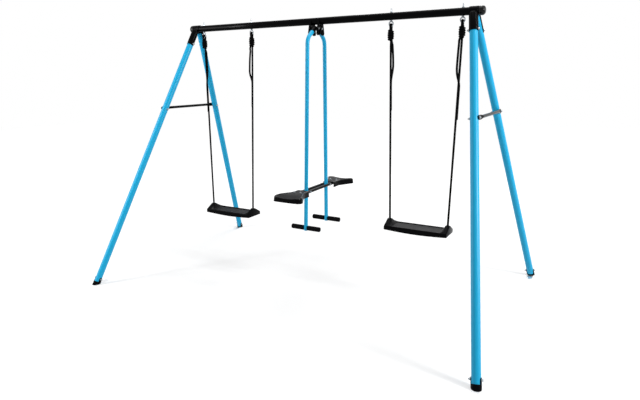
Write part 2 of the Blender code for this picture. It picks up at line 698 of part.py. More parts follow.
def build_swing(word, side, seat_top, rope_material, plastic):
    """Build one swing: the seat and its two ropes, hung on a common axis."""
    centre = side * SWING_X
    axis = axis_empty(word + "_swing_axis", (centre, 0, SWING_AXIS_HEIGHT))
    for end in (-1, 1):
        eye_x = centre + end * EYE_SPACING / 2
        seat_x = centre + end * ROPE_SPACING_AT_SEAT / 2
        outer = end == side
        where = "outer" if outer else "inner"
        tail_end = OUTER_TAIL_END if outer else INNER_TAIL_END
        bow = OUTER_TAIL_BOW if outer else INNER_TAIL_BOW
        path = rope_points(eye_x, seat_x, seat_top, -end, tail_end, bow)
        rope = add("rope_" + word + "_" + where, curve_tube(path, ROPE_R, 1), rope_material, parent=axis)
        off_facet = Matrix.Rotation(0.13, 4, "Z")
        knot = Matrix.Translation((eye_x, 0, SWING_AXIS_HEIGHT - KNOT_DROP)) @ off_facet
        shape_with(rope, barrel(KNOT_DIAMETER, KNOT_HEIGHT), "UNION", knot)
        stop = Matrix.Translation((seat_x, 0, seat_top - SEAT_RIM_DROP)) @ off_facet
        shape_with(rope, barrel(STOP_KNOT_DIAMETER, STOP_KNOT_DIAMETER), "UNION", stop)
    place = Matrix.Translation((centre, 0, seat_top))
    ends = SEAT_LENGTH / 2
    seat = add("swing_seat_" + word, seat_solid(-ends, ends, 0.0), plastic, place, axis)
    rib = ends / 3
    for low, high in ((-ends, -rib), (-rib, rib), (rib, ends)):
        inset_low = low + SEAT_WALL * (1.0 if low == -ends else 0.5)
        inset_high = high - SEAT_WALL * (1.0 if high == ends else 0.5)
        shape_with(seat, seat_solid(inset_low, inset_high, SEAT_WALL), "DIFFERENCE", place)
    for end in (-1, 1):
        hole = drill(ROPE_R + ROPE_HOLE_GAP, -SEAT_RIM_DROP, CUT_PAST)
        where = Matrix.Translation((centre + end * ROPE_SPACING_AT_SEAT / 2, 0, seat_top))
        shape_with(seat, hole, "DIFFERENCE", where)


def seat_section(x, inset):
    """Return the seat's section across Y at x, shrunk by the inset and open below if it has one."""
    half = SEAT_LENGTH / 2
    from_end = half - abs(x)
    gable = (SEAT_GABLE_RUN - inset - from_end) / (SEAT_GABLE_RUN - SEAT_RIDGE_RUN)
    gable = min(1.0, max(0.0, gable))
    belly = SEAT_BELLY * math.cos(0.5 * math.pi * x / half)
    low = -SEAT_HEIGHT - belly - (CUT_PAST if inset else 0.0)
    depth = SEAT_DEPTH / 2 - inset
    shoulder = depth - SEAT_DRAFT
    rim = -SEAT_RIM_DROP - inset
    panel = -SEAT_PANEL_DROP - inset
    ridge = SEAT_RIDGE_WIDTH / 2 - inset * 0.3
    top = -inset
    tray = [(shoulder - SEAT_LIP * 0.4, rim), (shoulder - SEAT_LIP, panel), (depth * 0.45, panel), (0, panel)]
    slope = [shoulder + (ridge - shoulder) * share for share in (0.3, 0.65, 1.0)]
    edge = rim - SEAT_DRAFT
    roof = [(y, edge + (top - edge) * (shoulder - y) / (shoulder - ridge)) for y in slope] + [(0, top)]
    half_section = [(depth, low), (shoulder, edge)]
    for flat, raised in zip(tray, roof):
        half_section.append(tuple(a + (b - a) * gable for a, b in zip(flat, raised)))
    back = [(x, y, z) for y, z in half_section]
    front = [(x, -y, z) for y, z in reversed(half_section[:-1])]
    return back + front


def seat_solid(low, high, inset):
    """Return the seat's body, or a hollow of it, between two places along X."""
    half = SEAT_LENGTH / 2
    breaks = [half - SEAT_GABLE_RUN + inset, half - SEAT_RIDGE_RUN + inset]
    inner = breaks[0]
    stations = [-breaks[1], -breaks[0], -inner * 0.5, 0.0, inner * 0.5, breaks[0], breaks[1]]
    kept = [x for x in stations if low + SEAT_WALL < x < high - SEAT_WALL]
    return lofted([seat_section(x, inset) for x in [low] + kept + [high]])


def build_hanger(black, zinc):
    """Build the glider's hanger plates and their two pivot bolts."""
    collar_r = BEAM_R + FIT_GAP + HANGER_COLLAR
    half_gap = HANGER_GAP / 2
    for side, word in ((-1, "left"), (1, "right")):
        turn = Matrix.Rotation(0 if side > 0 else math.pi, 4, "Z")
        place = Matrix.Translation((0, 0, BEAM_HEIGHT)) @ turn
        world = place @ Matrix.Translation((half_gap, 0, 0)) @ TURN_PLAN_TO_YZ
        front_lobe = (-HANGER_LOBE_Y, -HANGER_LOBE_DROP)
        back_lobe = (HANGER_LOBE_Y, -HANGER_LOBE_DROP)
        outline = tapered_link((0, 0), collar_r, front_lobe, HANGER_LOBE_RADIUS, BIG_ROUND // 3)
        plate = add("hanger_plate_" + word, prism(outline, 0, HANGER_FLANGE), black, world)
        twin = tapered_link((0, 0), collar_r, back_lobe, HANGER_LOBE_RADIUS, BIG_ROUND // 3)
        shape_with(plate, prism(twin, 0, HANGER_FLANGE), "UNION", world)
        for lobe in (front_lobe, back_lobe):
            share = (collar_r + HANGER_LOBE_RADIUS) / HANGER_LOBE_DROP
            start = (lobe[0] * share, lobe[1] * share)
            start_r = collar_r + (HANGER_LOBE_RADIUS - collar_r) * share - HANGER_RIM
            pocket = tapered_link(start, start_r, lobe, HANGER_LOBE_RADIUS - HANGER_RIM)
            shape_with(plate, prism(pocket, HANGER_WEB, HANGER_FLANGE + CUT_PAST), "DIFFERENCE", world)
        bore = drill(BEAM_R + FIT_GAP, -CUT_PAST, HANGER_FLANGE + CUT_PAST, BIG_ROUND)
        shape_with(plate, bore, "DIFFERENCE", world)
        reach = 2 * collar_r
        above = block((-reach, HANGER_ABOVE, -CUT_PAST), (reach, reach, HANGER_FLANGE + CUT_PAST))
        shape_with(plate, above, "DIFFERENCE", world)
        for end in (-1, 1):
            spot = Matrix.Translation((0, end * HANGER_PIVOT_Y, PIVOT_HEIGHT)) @ TURN_Z_TO_X
            hole = drill(BOLT_R + HOLE_GAP, -half_gap - 2 * CUT_PAST, half_gap + 2 * CUT_PAST)
            shape_with(plate, hole, "DIFFERENCE", spot)
    for end, word in ((-1, "front"), (1, "back")):
        outside = half_gap + HANGER_WEB + FIT_GAP
        world = Matrix.Translation((outside, end * HANGER_PIVOT_Y, PIVOT_HEIGHT)) @ TURN_Z_TO_X
        tail = HANGER_FLANGE
        add("hanger_pivot_bolt_" + word, bolt(2 * outside, tail), zinc, world)


def glider_path(end):
    """Return the (y, z) points of a glider tube's axis from its foot to past its pivot."""
    foot = Vector((end * TUBE_FOOT_Y, TUBE_FOOT_HEIGHT))
    knee = Vector((end * KNEE_Y, KNEE_HEIGHT))
    pivot = Vector((end * HANGER_PIVOT_Y, PIVOT_HEIGHT))
    top = pivot + (pivot - knee).normalized() * TUBE_PAST_PIVOT
    return [foot] + rounded_corner(foot, knee, pivot, KNEE_RADIUS, ARC_STEPS) + [top]


def build_glider_arm(word, end, blue, black, grip_material):
    """Build one swinging arm of the glider: sleeved tube, footrest bar and two grips."""
    axis = axis_empty("glider_" + word + "_axis", (0, end * HANGER_PIVOT_Y, PIVOT_HEIGHT))
    bent = bent_pipe(glider_path(end), GLIDER_R, GLIDER_TUBE_WALL, BIG_ROUND // 2)
    tube = add("glider_tube_" + word, bent, blue, parent=axis)
    pivot = Matrix.Translation((0, end * HANGER_PIVOT_Y, PIVOT_HEIGHT)) @ TURN_Z_TO_X
    knee = Vector((end * (KNEE_Y - HANGER_PIVOT_Y), -KNEE_BELOW_PIVOT))
    tilt = Matrix.Rotation(math.atan2(-knee.x, knee.y), 4, "X")
    sleeve = drill(GLIDER_R + SLEEVE_WALL, -TUBE_PAST_PIVOT - SLEEVE_WALL, SLEEVE_LENGTH, BIG_ROUND // 2)
    top = Matrix.Translation((0, end * HANGER_PIVOT_Y, PIVOT_HEIGHT))
    shape_with(tube, sleeve, "UNION", top @ tilt)
    half = HANGER_GAP / 2 - RUN_GAP
    shape_with(tube, drill(BEARING_DIAMETER / 2, -half, half, BIG_ROUND // 2), "UNION", pivot)
    shape_with(tube, drill(BOLT_R + HOLE_GAP, -half - CUT_PAST, half + CUT_PAST), "DIFFERENCE", pivot)
    slack = HOLE_GAP if end < 0 else PIVOT_SLACK
    rail_pivot = Matrix.Translation((0, end * RAIL_PIVOT_Y, RAIL_HEIGHT)) @ TURN_Z_TO_X
    shape_with(tube, drill(BOLT_R + slack, -CUT_PAST, CUT_PAST), "DIFFERENCE", rail_pivot)
    rest = Matrix.Translation((0, end * FOOTREST_Y, FOOTREST_HEIGHT)) @ TURN_Z_TO_X
    bar_r = FOOTREST_BAR_DIAMETER / 2
    shape_with(tube, drill(bar_r + HOLE_GAP, -CUT_PAST, CUT_PAST), "DIFFERENCE", rest)
    reach = FOOTREST_LENGTH / 2
    add("footrest_bar_" + word, rod(bar_r, GRIP_ROUND - reach, reach - GRIP_ROUND), black, rest, axis)
    inner = GLIDER_R + RUN_GAP
    bore = bar_r + HOLE_GAP
    grip_r = GRIP_DIAMETER / 2
    profile = [
        (bore, inner),
        (grip_r - GRIP_ROUND * 0.3, inner),
        (grip_r, inner + GRIP_ROUND * 0.4),
        (grip_r, reach - GRIP_ROUND),
        (grip_r - GRIP_ROUND * 0.3, reach - GRIP_ROUND * 0.3),
        (grip_r - GRIP_ROUND, reach),
        (bore, reach),
    ]
    for side, hand in ((-1, "left"), (1, "right")):
        turn = Matrix.Rotation(0 if side > 0 else math.pi, 4, "X")
        grip = turned(profile, SMALL_ROUND + ARC_STEPS, closed=True)
        add("footrest_grip_" + word + "_" + hand, grip, grip_material, rest @ turn, axis)


def saddle_section(y, wide, top, inset):
    """Return the glider seat's section across X at y."""
    half = wide / 2 - inset
    low = SADDLE_PANEL - SADDLE_SKIRT - (CUT_PAST if inset else 0.0)
    rim = top + SADDLE_RIM - inset
    panel = top - inset
    middle = RAIL_X + RAIL_R
    roll = SADDLE_ROLL - inset
    half_section = [
        (half, low),
        (half, rim - roll * 0.45),
        (half - roll * 0.12, rim - roll * 0.14),
        (half - roll * 0.4, rim),
        (max(half - roll, middle), panel),
        (0, panel),
    ]
    right = [(x, y, z) for x, z in half_section]
    left = [(-x, y, z) for x, z in reversed(half_section[:-1])]
    return right + left


def saddle_solid(inset):
    """Return the glider seat's body along +Y, or its hollow, open at the inner end."""
    span = SADDLE_OUTER_Y - SADDLE_INNER_Y
    widening = SADDLE_OUTER_WIDTH - SADDLE_INNER_WIDTH
    sections = []
    past_rails = min(0.97, (RAIL_HALF_LENGTH - SADDLE_INNER_Y) / (span - SADDLE_SHELL) + 0.02)
    for share in sorted((0.0, SADDLE_NECK, 0.5, past_rails, 0.82, 0.93, 0.98, 1.0)):
        ease = min(1.0, max(0.0, share - SADDLE_NECK) / (0.93 - SADDLE_NECK))
        close = max(0.0, (share - 0.82) / 0.18)
        wide = SADDLE_INNER_WIDTH + widening * ease - 2 * SADDLE_CORNER * close ** 2
        fall = SADDLE_DROOP * max(0.0, share - past_rails) / (1 - past_rails)
        y = SADDLE_INNER_Y + (span - inset) * share
        if inset and share == 0.0:
            y -= CUT_PAST
        sections.append(saddle_section(y, wide, SADDLE_PANEL - fall, inset))
    return lofted(sections)


def build_seat_beam(black, plastic, zinc):
    """Build the glider's seat beam: two rails, two seats and the lower pivot bolts."""
    axis = axis_empty("glider_seat_axis", (0, -RAIL_PIVOT_Y, RAIL_HEIGHT))
    along = Matrix.Rotation(-math.pi / 2, 4, "X")
    for side, word in ((-1, "left"), (1, "right")):
        world = Matrix.Translation((side * RAIL_X, 0, RAIL_HEIGHT)) @ along
        tube = pipe(RAIL_R, RAIL_WALL, -RAIL_HALF_LENGTH, RAIL_HALF_LENGTH, BIG_ROUND // 2)
        rail = add("seat_rail_" + word, tube, black, world, axis)
        for end in (-1, 1):
            hole = drill(BOLT_R + HOLE_GAP, -RAIL_R - CUT_PAST, RAIL_R + CUT_PAST)
            spot = Matrix.Translation((side * RAIL_X, end * RAIL_PIVOT_Y, RAIL_HEIGHT)) @ TURN_Z_TO_X
            shape_with(rail, hole, "DIFFERENCE", spot)
    for end, word in ((-1, "front"), (1, "back")):
        turn = Matrix.Rotation(0 if end > 0 else math.pi, 4, "Z")
        seat = add("glider_seat_" + word, saddle_solid(0.0), plastic, turn, axis)
        shape_with(seat, saddle_solid(SADDLE_SHELL), "DIFFERENCE", turn)
        outside = RAIL_X + RAIL_R + FIT_GAP
        world = Matrix.Translation((outside, end * RAIL_PIVOT_Y, RAIL_HEIGHT)) @ TURN_Z_TO_X
        add("rail_pivot_bolt_" + word, bolt(2 * outside), zinc, world, axis)


def main():
    """Build the whole swing set."""
    clear_scene()
    blue = finish("blue powder coat", (0.028, 0.407, 0.759), 0.32, 0.0)
    black = finish("black gloss paint", (0.010, 0.010, 0.012), 0.28, 0.0)
    plastic = finish("black moulded plastic", (0.018, 0.018, 0.020), 0.48, 0.0)
    rubber = finish("black grip rubber", (0.014, 0.014, 0.015), 0.65, 0.0)
    zinc = finish("zinc plated steel", (0.56, 0.57, 0.58), 0.34, 1.0)
    cord = finish("black braided rope", (0.016, 0.016, 0.018), 0.85, 0.0)
    build_beam(black, plastic)
    build_brackets(plastic, zinc)
    build_legs(blue)
    build_cross_bars(black, zinc)
    build_feet(plastic, zinc)
    build_eye_bolts(zinc)
    build_swing("left", -1, LEFT_SEAT_TOP, cord, plastic)
    build_swing("right", 1, RIGHT_SEAT_TOP, cord, plastic)
    build_hanger(black, zinc)
    build_glider_arm("front", -1, blue, black, rubber)
    build_glider_arm("back", 1, blue, black, rubber)
    build_seat_beam(black, plastic, zinc)


main()
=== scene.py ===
"""Looks of the garden swing set: fine shapes, finishes, ropes, fasteners and the studio.

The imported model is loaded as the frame. X runs along the top beam, Y from the front feet
to the back feet and Z up, in metres.
"""
from __future__ import annotations

import logging
import math
from dataclasses import dataclass
from enum import Enum
from typing import Any, Callable, Sequence

import bmesh
import bpy
from mathutils import Matrix, Vector

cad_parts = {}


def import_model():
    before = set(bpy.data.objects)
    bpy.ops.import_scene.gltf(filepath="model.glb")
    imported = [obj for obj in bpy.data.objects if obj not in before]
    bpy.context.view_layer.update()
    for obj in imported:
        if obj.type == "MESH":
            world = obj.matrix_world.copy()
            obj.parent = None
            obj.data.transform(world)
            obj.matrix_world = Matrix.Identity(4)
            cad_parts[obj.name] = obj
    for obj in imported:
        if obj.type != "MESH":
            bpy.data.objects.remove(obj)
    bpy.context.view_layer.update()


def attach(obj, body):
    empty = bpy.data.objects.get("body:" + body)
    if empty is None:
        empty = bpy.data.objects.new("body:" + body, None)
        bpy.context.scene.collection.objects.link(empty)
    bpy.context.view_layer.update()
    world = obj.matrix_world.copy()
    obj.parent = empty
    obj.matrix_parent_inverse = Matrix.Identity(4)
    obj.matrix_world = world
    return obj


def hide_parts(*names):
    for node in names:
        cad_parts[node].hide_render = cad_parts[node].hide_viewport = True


LOG = logging.getLogger("swing_set")
MM = 0.001
SIDES = ((-1, "left"), (1, "right"))
ENDS = ((-1, "front"), (1, "back"))
# How far a cutter runs past the shape that it opens
PAST = 0.03
# Turn of a bore, which keeps its facets out of the facets of the tube in it
BORE_TURN = 0.03
# Share of a tube's wall that is taken off the edges of its ends
PIPE_EASE = 0.4
# Points nearer than this are one, and faces that turn less than this many radians are flat
MERGE_GAP = 1e-6
FLAT_ANGLE = 0.01
# The range that most of a noise lies in, and its octaves for patches and for grain
NOISE_RANGE = (0.3, 0.7)
PATCH_DETAIL = 4.0
GRAIN_DETAIL = 2.0

Point2 = tuple[float, float]
Point3 = tuple[float, float, float]
Spot = tuple[Vector, Vector]
Shape = bmesh.types.BMesh
Socket = bpy.types.NodeSocket
Tree = bpy.types.NodeTree

TURN_Z_TO_X = Matrix.Rotation(math.pi / 2, 4, "Y")
TURN_Z_TO_Y = Matrix.Rotation(-math.pi / 2, 4, "X")
TURN_PLAN_TO_YZ = Matrix(((0, 0, 1), (1, 0, 0), (0, 1, 0))).to_4x4()
TURN_PLAN_TO_LEG = Matrix(((0, 0, -1), (0, 1, 0), (1, 0, 0))).to_4x4()


class Body(str, Enum):
    """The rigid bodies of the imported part."""

    FRAME = "frame"
    LEFT_SWING = "left_swing"
    RIGHT_SWING = "right_swing"
    FRONT_ARM = "glider_front_arm"
    BACK_ARM = "glider_back_arm"
    SEAT_BEAM = "glider_seat_beam"


class Slot(str, Enum):
    """The record's material slots."""

    BLUE = "blue_powder_coat"
    BLACK = "black_gloss_paint"
    PLASTIC = "black_moulded_plastic"
    GRIP = "black_grip_rubber"
    ZINC = "zinc_plated_steel"
    ROPE = "black_rope"


class Carving(Enum):
    """What one shape does to another."""

    CUT = "DIFFERENCE"
    JOIN = "UNION"


def linear(hex_code: str) -> tuple[float, float, float, float]:
    """Turn an sRGB hex colour into linear red, green, blue and an alpha of one.

    Args:
        hex_code: six hex digits after a hash.

    Returns:
        The four values.
    """
    values = [int(hex_code[i:i + 2], 16) / 255 for i in (1, 3, 5)]
    parts = [v / 12.92 if v <= 0.04045 else ((v + 0.055) / 1.055) ** 2.4 for v in values]
    return (parts[0], parts[1], parts[2], 1.0)


def feed(tree: Tree, node: bpy.types.Node, inputs: dict[Any, Any]) -> None:
    """Set a node's inputs.

    Args:
        tree: the node's tree.
        node: the node.
        inputs: input name or index to a value, or to the socket that feeds it.
    """
    for key, value in inputs.items():
        if isinstance(value, Socket):
            tree.links.new(value, node.inputs[key])
        else:
            node.inputs[key].default_value = value


def add_node(tree: Tree, kind: str, inputs: dict[Any, Any] | None = None, **settings: Any) -> bpy.types.Node:
    """Add a node, set it up and feed its inputs.

    Args:
        tree: the tree that gets the node.
        kind: the node's type name.
        inputs: input name or index to a value, or to the socket that feeds it.
        settings: the node's own properties.

    Returns:
        The new node.
    """
    made = tree.nodes.new(kind)
    for name, value in settings.items():
        setattr(made, name, value)
    feed(tree, made, inputs or {})
    return made


def new_material(name: str) -> tuple[bpy.types.Material, Tree, bpy.types.Node]:
    """Start a material and return it with its tree and its main shader.

    Args:
        name: the material's name.

    Returns:
        The material, its tree and its main shader.
    """
    made = bpy.data.materials.new(name)
    made.use_nodes = True
    return made, made.node_tree, made.node_tree.nodes["Principled BSDF"]


def paint(tree: Tree, shader: bpy.types.Node, share: Socket, colours: tuple[str, str], height: Socket,
          depth_mm: float) -> None:
    """Give a shader a blend of two colours and a fine relief.

    Args:
        tree: the shader's tree.
        shader: the shader.
        share: share of the second colour.
        colours: both hex colours.
        height: the relief's pattern.
        depth_mm: how deep the relief is.
    """
    first, second = [linear(colour) for colour in colours]
    blend = add_node(tree, "ShaderNodeMix", {0: share, 6: first, 7: second}, data_type="RGBA")
    bump = add_node(tree, "ShaderNodeBump", {"Height": height, "Distance": depth_mm * MM, "Strength": 1.0})
    feed(tree, shader, {"Base Color": blend.outputs[2], "Normal": bump.outputs["Normal"]})


@dataclass(frozen=True)
class Finish:
    """A surface: colour, gloss and a fine relief.

    The relief is noise over Object coordinates, its size given in millimetres.
    """

    name: str
    slot: Slot
    colour: str
    tint: str
    rough: float
    swing: float
    relief_mm: float
    depth_mm: float
    patch_mm: float
    metallic: float = 0.0
    specular: float = 0.5
    cells: bool = False

    def material(self) -> bpy.types.Material:
        """Build the procedural material.

        Returns:
            The finished material.
        """
        made, tree, shader = new_material(self.name)
        where = add_node(tree, "ShaderNodeTexCoord").outputs["Object"]
        patches = add_node(tree, "ShaderNodeTexNoise", {
            "Vector": where, "Scale": 1 / (self.patch_mm * MM), "Detail": PATCH_DETAIL}).outputs["Fac"]
        gloss = add_node(tree, "ShaderNodeMapRange", {
            "Value": patches, "From Min": NOISE_RANGE[0], "From Max": NOISE_RANGE[1],
            "To Min": self.rough - self.swing, "To Max": self.rough + self.swing}).outputs["Result"]
        grain = {"Vector": where, "Scale": 1 / (self.relief_mm * MM)}
        if self.cells:
            height = add_node(tree, "ShaderNodeTexVoronoi", grain, feature="SMOOTH_F1").outputs["Distance"]
        else:
            height = add_node(tree, "ShaderNodeTexNoise", {**grain, "Detail": GRAIN_DETAIL}).outputs["Fac"]
        paint(tree, shader, patches, (self.colour, self.tint), height, self.depth_mm)
        feed(tree, shader, {
            "Roughness": gloss, "Metallic": self.metallic, "Specular IOR Level": self.specular})
        return made


@dataclass(frozen=True)
class BraidFinish:
    """Braided rope: diamonds of strands along the rope's own UV map, V in metres, with painted shade
    darkening the grooves between strands.
    """

    name: str
    slot: Slot
    # The colour of the grooves: painted shade between the strands
    groove_shade: str
    light: str
    diamonds: float
    pitch_mm: float
    depth_mm: float
    rough: float
    specular: float

    def material(self) -> bpy.types.Material:
        """Build the rope's material.

        Returns:
            The finished material.
        """
        made, tree, shader = new_material(self.name)
        layout = add_node(tree, "ShaderNodeTexCoord").outputs["UV"]
        split = add_node(tree, "ShaderNodeSeparateXYZ", {0: layout}).outputs
        phases = []
        for axis, scale in (("X", math.pi * self.diamonds), ("Y", math.pi / (self.pitch_mm * MM))):
            phase = add_node(tree, "ShaderNodeMath", {0: split[axis], 1: scale}, operation="MULTIPLY")
            phases.append(phase.outputs[0])
        waves = []
        for way in ("ADD", "SUBTRACT"):
            wave = add_node(tree, "ShaderNodeMath", dict(enumerate(phases)), operation=way)
            for step in ("SINE", "ABSOLUTE"):
                wave = add_node(tree, "ShaderNodeMath", {0: wave.outputs[0]}, operation=step)
            waves.append(wave.outputs[0])
        weave = add_node(tree, "ShaderNodeMath", dict(enumerate(waves)), operation="MULTIPLY").outputs[0]
        # Painted shade: the colour darkens with the weave's height, from the strand tops down into the
        # grooves
        paint(tree, shader, weave, (self.groove_shade, self.light), weave, self.depth_mm)
        feed(tree, shader, {"Roughness": self.rough, "Specular IOR Level": self.specular})
        return made


class Coat(Enum):
    """Every finish of the set, named for the real material."""

    # Powder coat on steel: an even gloss with a faint orange peel, drawn at 3 mm so that it shows
    BLUE = Finish("blue powder coat", Slot.BLUE, "#0fa2d1", "#17aad8", rough=0.34, swing=0.05,
                  relief_mm=3.0, depth_mm=0.02, patch_mm=90.0, specular=0.27)
    # Baked black enamel on steel tube: deep and glossy
    BLACK = Finish("black baked enamel", Slot.BLACK, "#030304", "#060607", rough=0.10, swing=0.03,
                   relief_mm=3.0, depth_mm=0.01, patch_mm=120.0, specular=0.03)
    # Injection-moulded polypropylene: a fine spark-eroded grain, drawn at 1.5 mm so that it shows
    PLASTIC = Finish("black moulded polypropylene", Slot.PLASTIC, "#040405", "#070708", rough=0.26,
                     swing=0.04, relief_mm=1.5, depth_mm=0.02, patch_mm=60.0, specular=0.03)
    # Polished black plastic of the end caps, and of rims that use has rubbed smooth
    GLOSS = Finish("polished black ABS", Slot.PLASTIC, "#030304", "#060607", rough=0.16, swing=0.03,
                   relief_mm=1.5, depth_mm=0.01, patch_mm=60.0, specular=0.18)
    # The same plastic as the seats with the pebble grain of the sitting panel; its lighter colour is painted
    # light on the upward faces
    PANEL = Finish("pebbled moulded polypropylene with painted light", Slot.PLASTIC, "#0c0c0e", "#131316", rough=0.50,
                   swing=0.05, relief_mm=4.0, depth_mm=0.45, patch_mm=45.0, specular=0.06, cells=True)
    # Soft grip rubber: matt, with a dusty bloom
    GRIP = Finish("black grip rubber", Slot.GRIP, "#040405", "#080809", rough=0.58, swing=0.06,
                  relief_mm=1.6, depth_mm=0.05, patch_mm=30.0, specular=0.04)
    # Bright zinc plate: a cool metal with cloudy gloss
    ZINC = Finish("bright zinc plate", Slot.ZINC, "#969b9f", "#83888d", rough=0.32, swing=0.10,
                  relief_mm=2.0, depth_mm=0.01, patch_mm=14.0, metallic=1.0)
    # Hot-dip galvanised sheet: paler and duller, with a coarse spangle
    GALVANISED = Finish("hot-dip galvanised sheet", Slot.ZINC, "#eceef0", "#e0e3e6", rough=0.42, swing=0.06,
                        relief_mm=2.0, depth_mm=0.01, patch_mm=18.0, metallic=1.0)
    # Braided polypropylene rope: matt black strands, with painted shade darkening the grooves between them
    ROPE = BraidFinish("braided polypropylene rope", Slot.ROPE, "#030304", "#0b0b0c", diamonds=6.0,
                       pitch_mm=9.0, depth_mm=0.5, rough=0.72, specular=0.03)


def shift(x: float = 0.0, y: float = 0.0, z: float = 0.0) -> Matrix:
    """Return a move."""
    return Matrix.Translation((x, y, z))


def facing(side: int, axis: str = "Z") -> Matrix:
    """Return half a turn for the negative side, and none for the other."""
    return Matrix.Rotation(0.0 if side > 0 else math.pi, 4, axis)


def looking(way: Vector, axis: str = "Z") -> Matrix:
    """Return a turn that points an axis along a direction."""
    return way.to_track_quat(axis, "Y").to_matrix().to_4x4()


def smoothstep(share: float) -> float:
    """Return a share that starts and ends gently."""
    return share * share * (3 - 2 * share)


def arc(centre: Point2, radius: float, start: float, end: float, steps: int) -> list[Point2]:
    """Return points on an arc between two angles, both ends included."""
    angles = [start + (end - start) * i / steps for i in range(steps + 1)]
    return [(centre[0] + radius * math.cos(a), centre[1] + radius * math.sin(a)) for a in angles]


def lathe(profile: Sequence[Point2], segments: int, closed: bool = False) -> Shape:
    """Spin a profile of (radius, height) points round Z.

    Args:
        profile: the points; a radius of zero makes a pole.
        segments: number of steps round the axis.
        closed: whether the last point joins the first.

    Returns:
        The closed shape.
    """
    bm = bmesh.new()
    verts = [bm.verts.new((radius, 0.0, height)) for radius, height in profile]
    pairs = list(zip(verts, verts[1:]))
    if closed:
        pairs.append((verts[-1], verts[0]))
    edges = [bm.edges.new(pair) for pair in pairs]
    bmesh.ops.spin(bm, geom=verts + edges, cent=(0, 0, 0), axis=(0, 0, 1),
                   angle=2 * math.pi, steps=segments, use_merge=True)
    bmesh.ops.remove_doubles(bm, verts=bm.verts, dist=MERGE_GAP)
    bmesh.ops.recalc_face_normals(bm, faces=bm.faces)
    return bm


def pipe(radius: float, wall: float, start: float, end: float, segments: int = 56) -> Shape:
    """Return a tube along Z with slightly eased ends.

    Args:
        radius: outer radius.
        wall: wall thickness.
        start: lower end.
        end: upper end.
        segments: number of sides.

    Returns:
        The tube.
    """
    inner, ease = radius - wall, wall * PIPE_EASE
    profile = [(inner, start), (radius - ease, start), (radius, start + ease),
               (radius, end - ease), (radius - ease, end), (inner, end)]
    return lathe(profile, segments, closed=True)


def rod(radius: float, start: float, end: float, segments: int = 48) -> Shape:
    """Return a solid round bar along Z."""
    return lathe([(0, start), (radius, start), (radius, end), (0, end)], segments)


def prism(outline: Sequence[Point2], low: float, high: float) -> Shape:
    """Extrude an outline along Z.

    Args:
        outline: points in order.
        low: lower height.
        high: upper height.

    Returns:
        The solid.
    """
    bm = bmesh.new()
    face = bm.faces.new([bm.verts.new((x, y, low)) for x, y in outline])
    grown = bmesh.ops.extrude_face_region(bm, geom=[face])["geom"]
    lifted = [item for item in grown if isinstance(item, bmesh.types.BMVert)]
    bmesh.ops.translate(bm, verts=lifted, vec=(0, 0, high - low))
    bmesh.ops.recalc_face_normals(bm, faces=bm.faces)
    return bm


def block(low: Point3, high: Point3) -> Shape:
    """Return a box between two corners."""
    outline = [(low[0], low[1]), (high[0], low[1]), (high[0], high[1]), (low[0], high[1])]
    return prism(outline, low[2], high[2])


def loft(sections: Sequence[Sequence[Point3]]) -> Shape:
    """Bridge closed sections in a row and cap both ends.

    Args:
        sections: rows of points, each row with as many points.

    Returns:
        The closed solid.
    """
    bm = bmesh.new()
    loops = [[bm.verts.new(point) for point in section] for section in sections]
    for near, far in zip(loops, loops[1:]):
        for i in range(len(near)):
            j = (i + 1) % len(near)
            bm.faces.new((near[i], near[j], far[j], far[i]))
    bm.faces.new(loops[0])
    bm.faces.new(loops[-1])
    bmesh.ops.recalc_face_normals(bm, faces=bm.faces)
    return bm


def smooth_path(points: Sequence[Point3], spacing: float) -> list[Vector]:
    """Run a Catmull-Rom curve through points and space it evenly.

    Args:
        points: the points to pass through.
        spacing: distance between the returned points.

    Returns:
        Evenly spaced points.
    """
    knots = [Vector(p) for p in points]
    knots = [knots[0] * 2 - knots[1]] + knots + [knots[-1] * 2 - knots[-2]]
    dense: list[Vector] = []
    for i in range(1, len(knots) - 2):
        a, b, c, d = knots[i - 1:i + 3]
        count = max(4, int((c - b).length / spacing * 3))
        for k in range(count):
            t = k / count
            dense.append(0.5 * (2 * b + (c - a) * t + (2 * a - 5 * b + 4 * c - d) * t * t
                                + (3 * b - a - 3 * c + d) * t ** 3))
    dense.append(knots[-2])
    lengths = [0.0]
    for p, q in zip(dense, dense[1:]):
        lengths.append(lengths[-1] + (q - p).length)
    count = max(2, round(lengths[-1] / spacing))
    spaced, at = [], 0
    for k in range(count + 1):
        want = lengths[-1] * k / count
        while at < len(lengths) - 2 and lengths[at + 1] < want:
            at += 1
        span = lengths[at + 1] - lengths[at]
        share = 0.0 if span == 0 else (want - lengths[at]) / span
        spaced.append(dense[at].lerp(dense[at + 1], share))
    return spaced


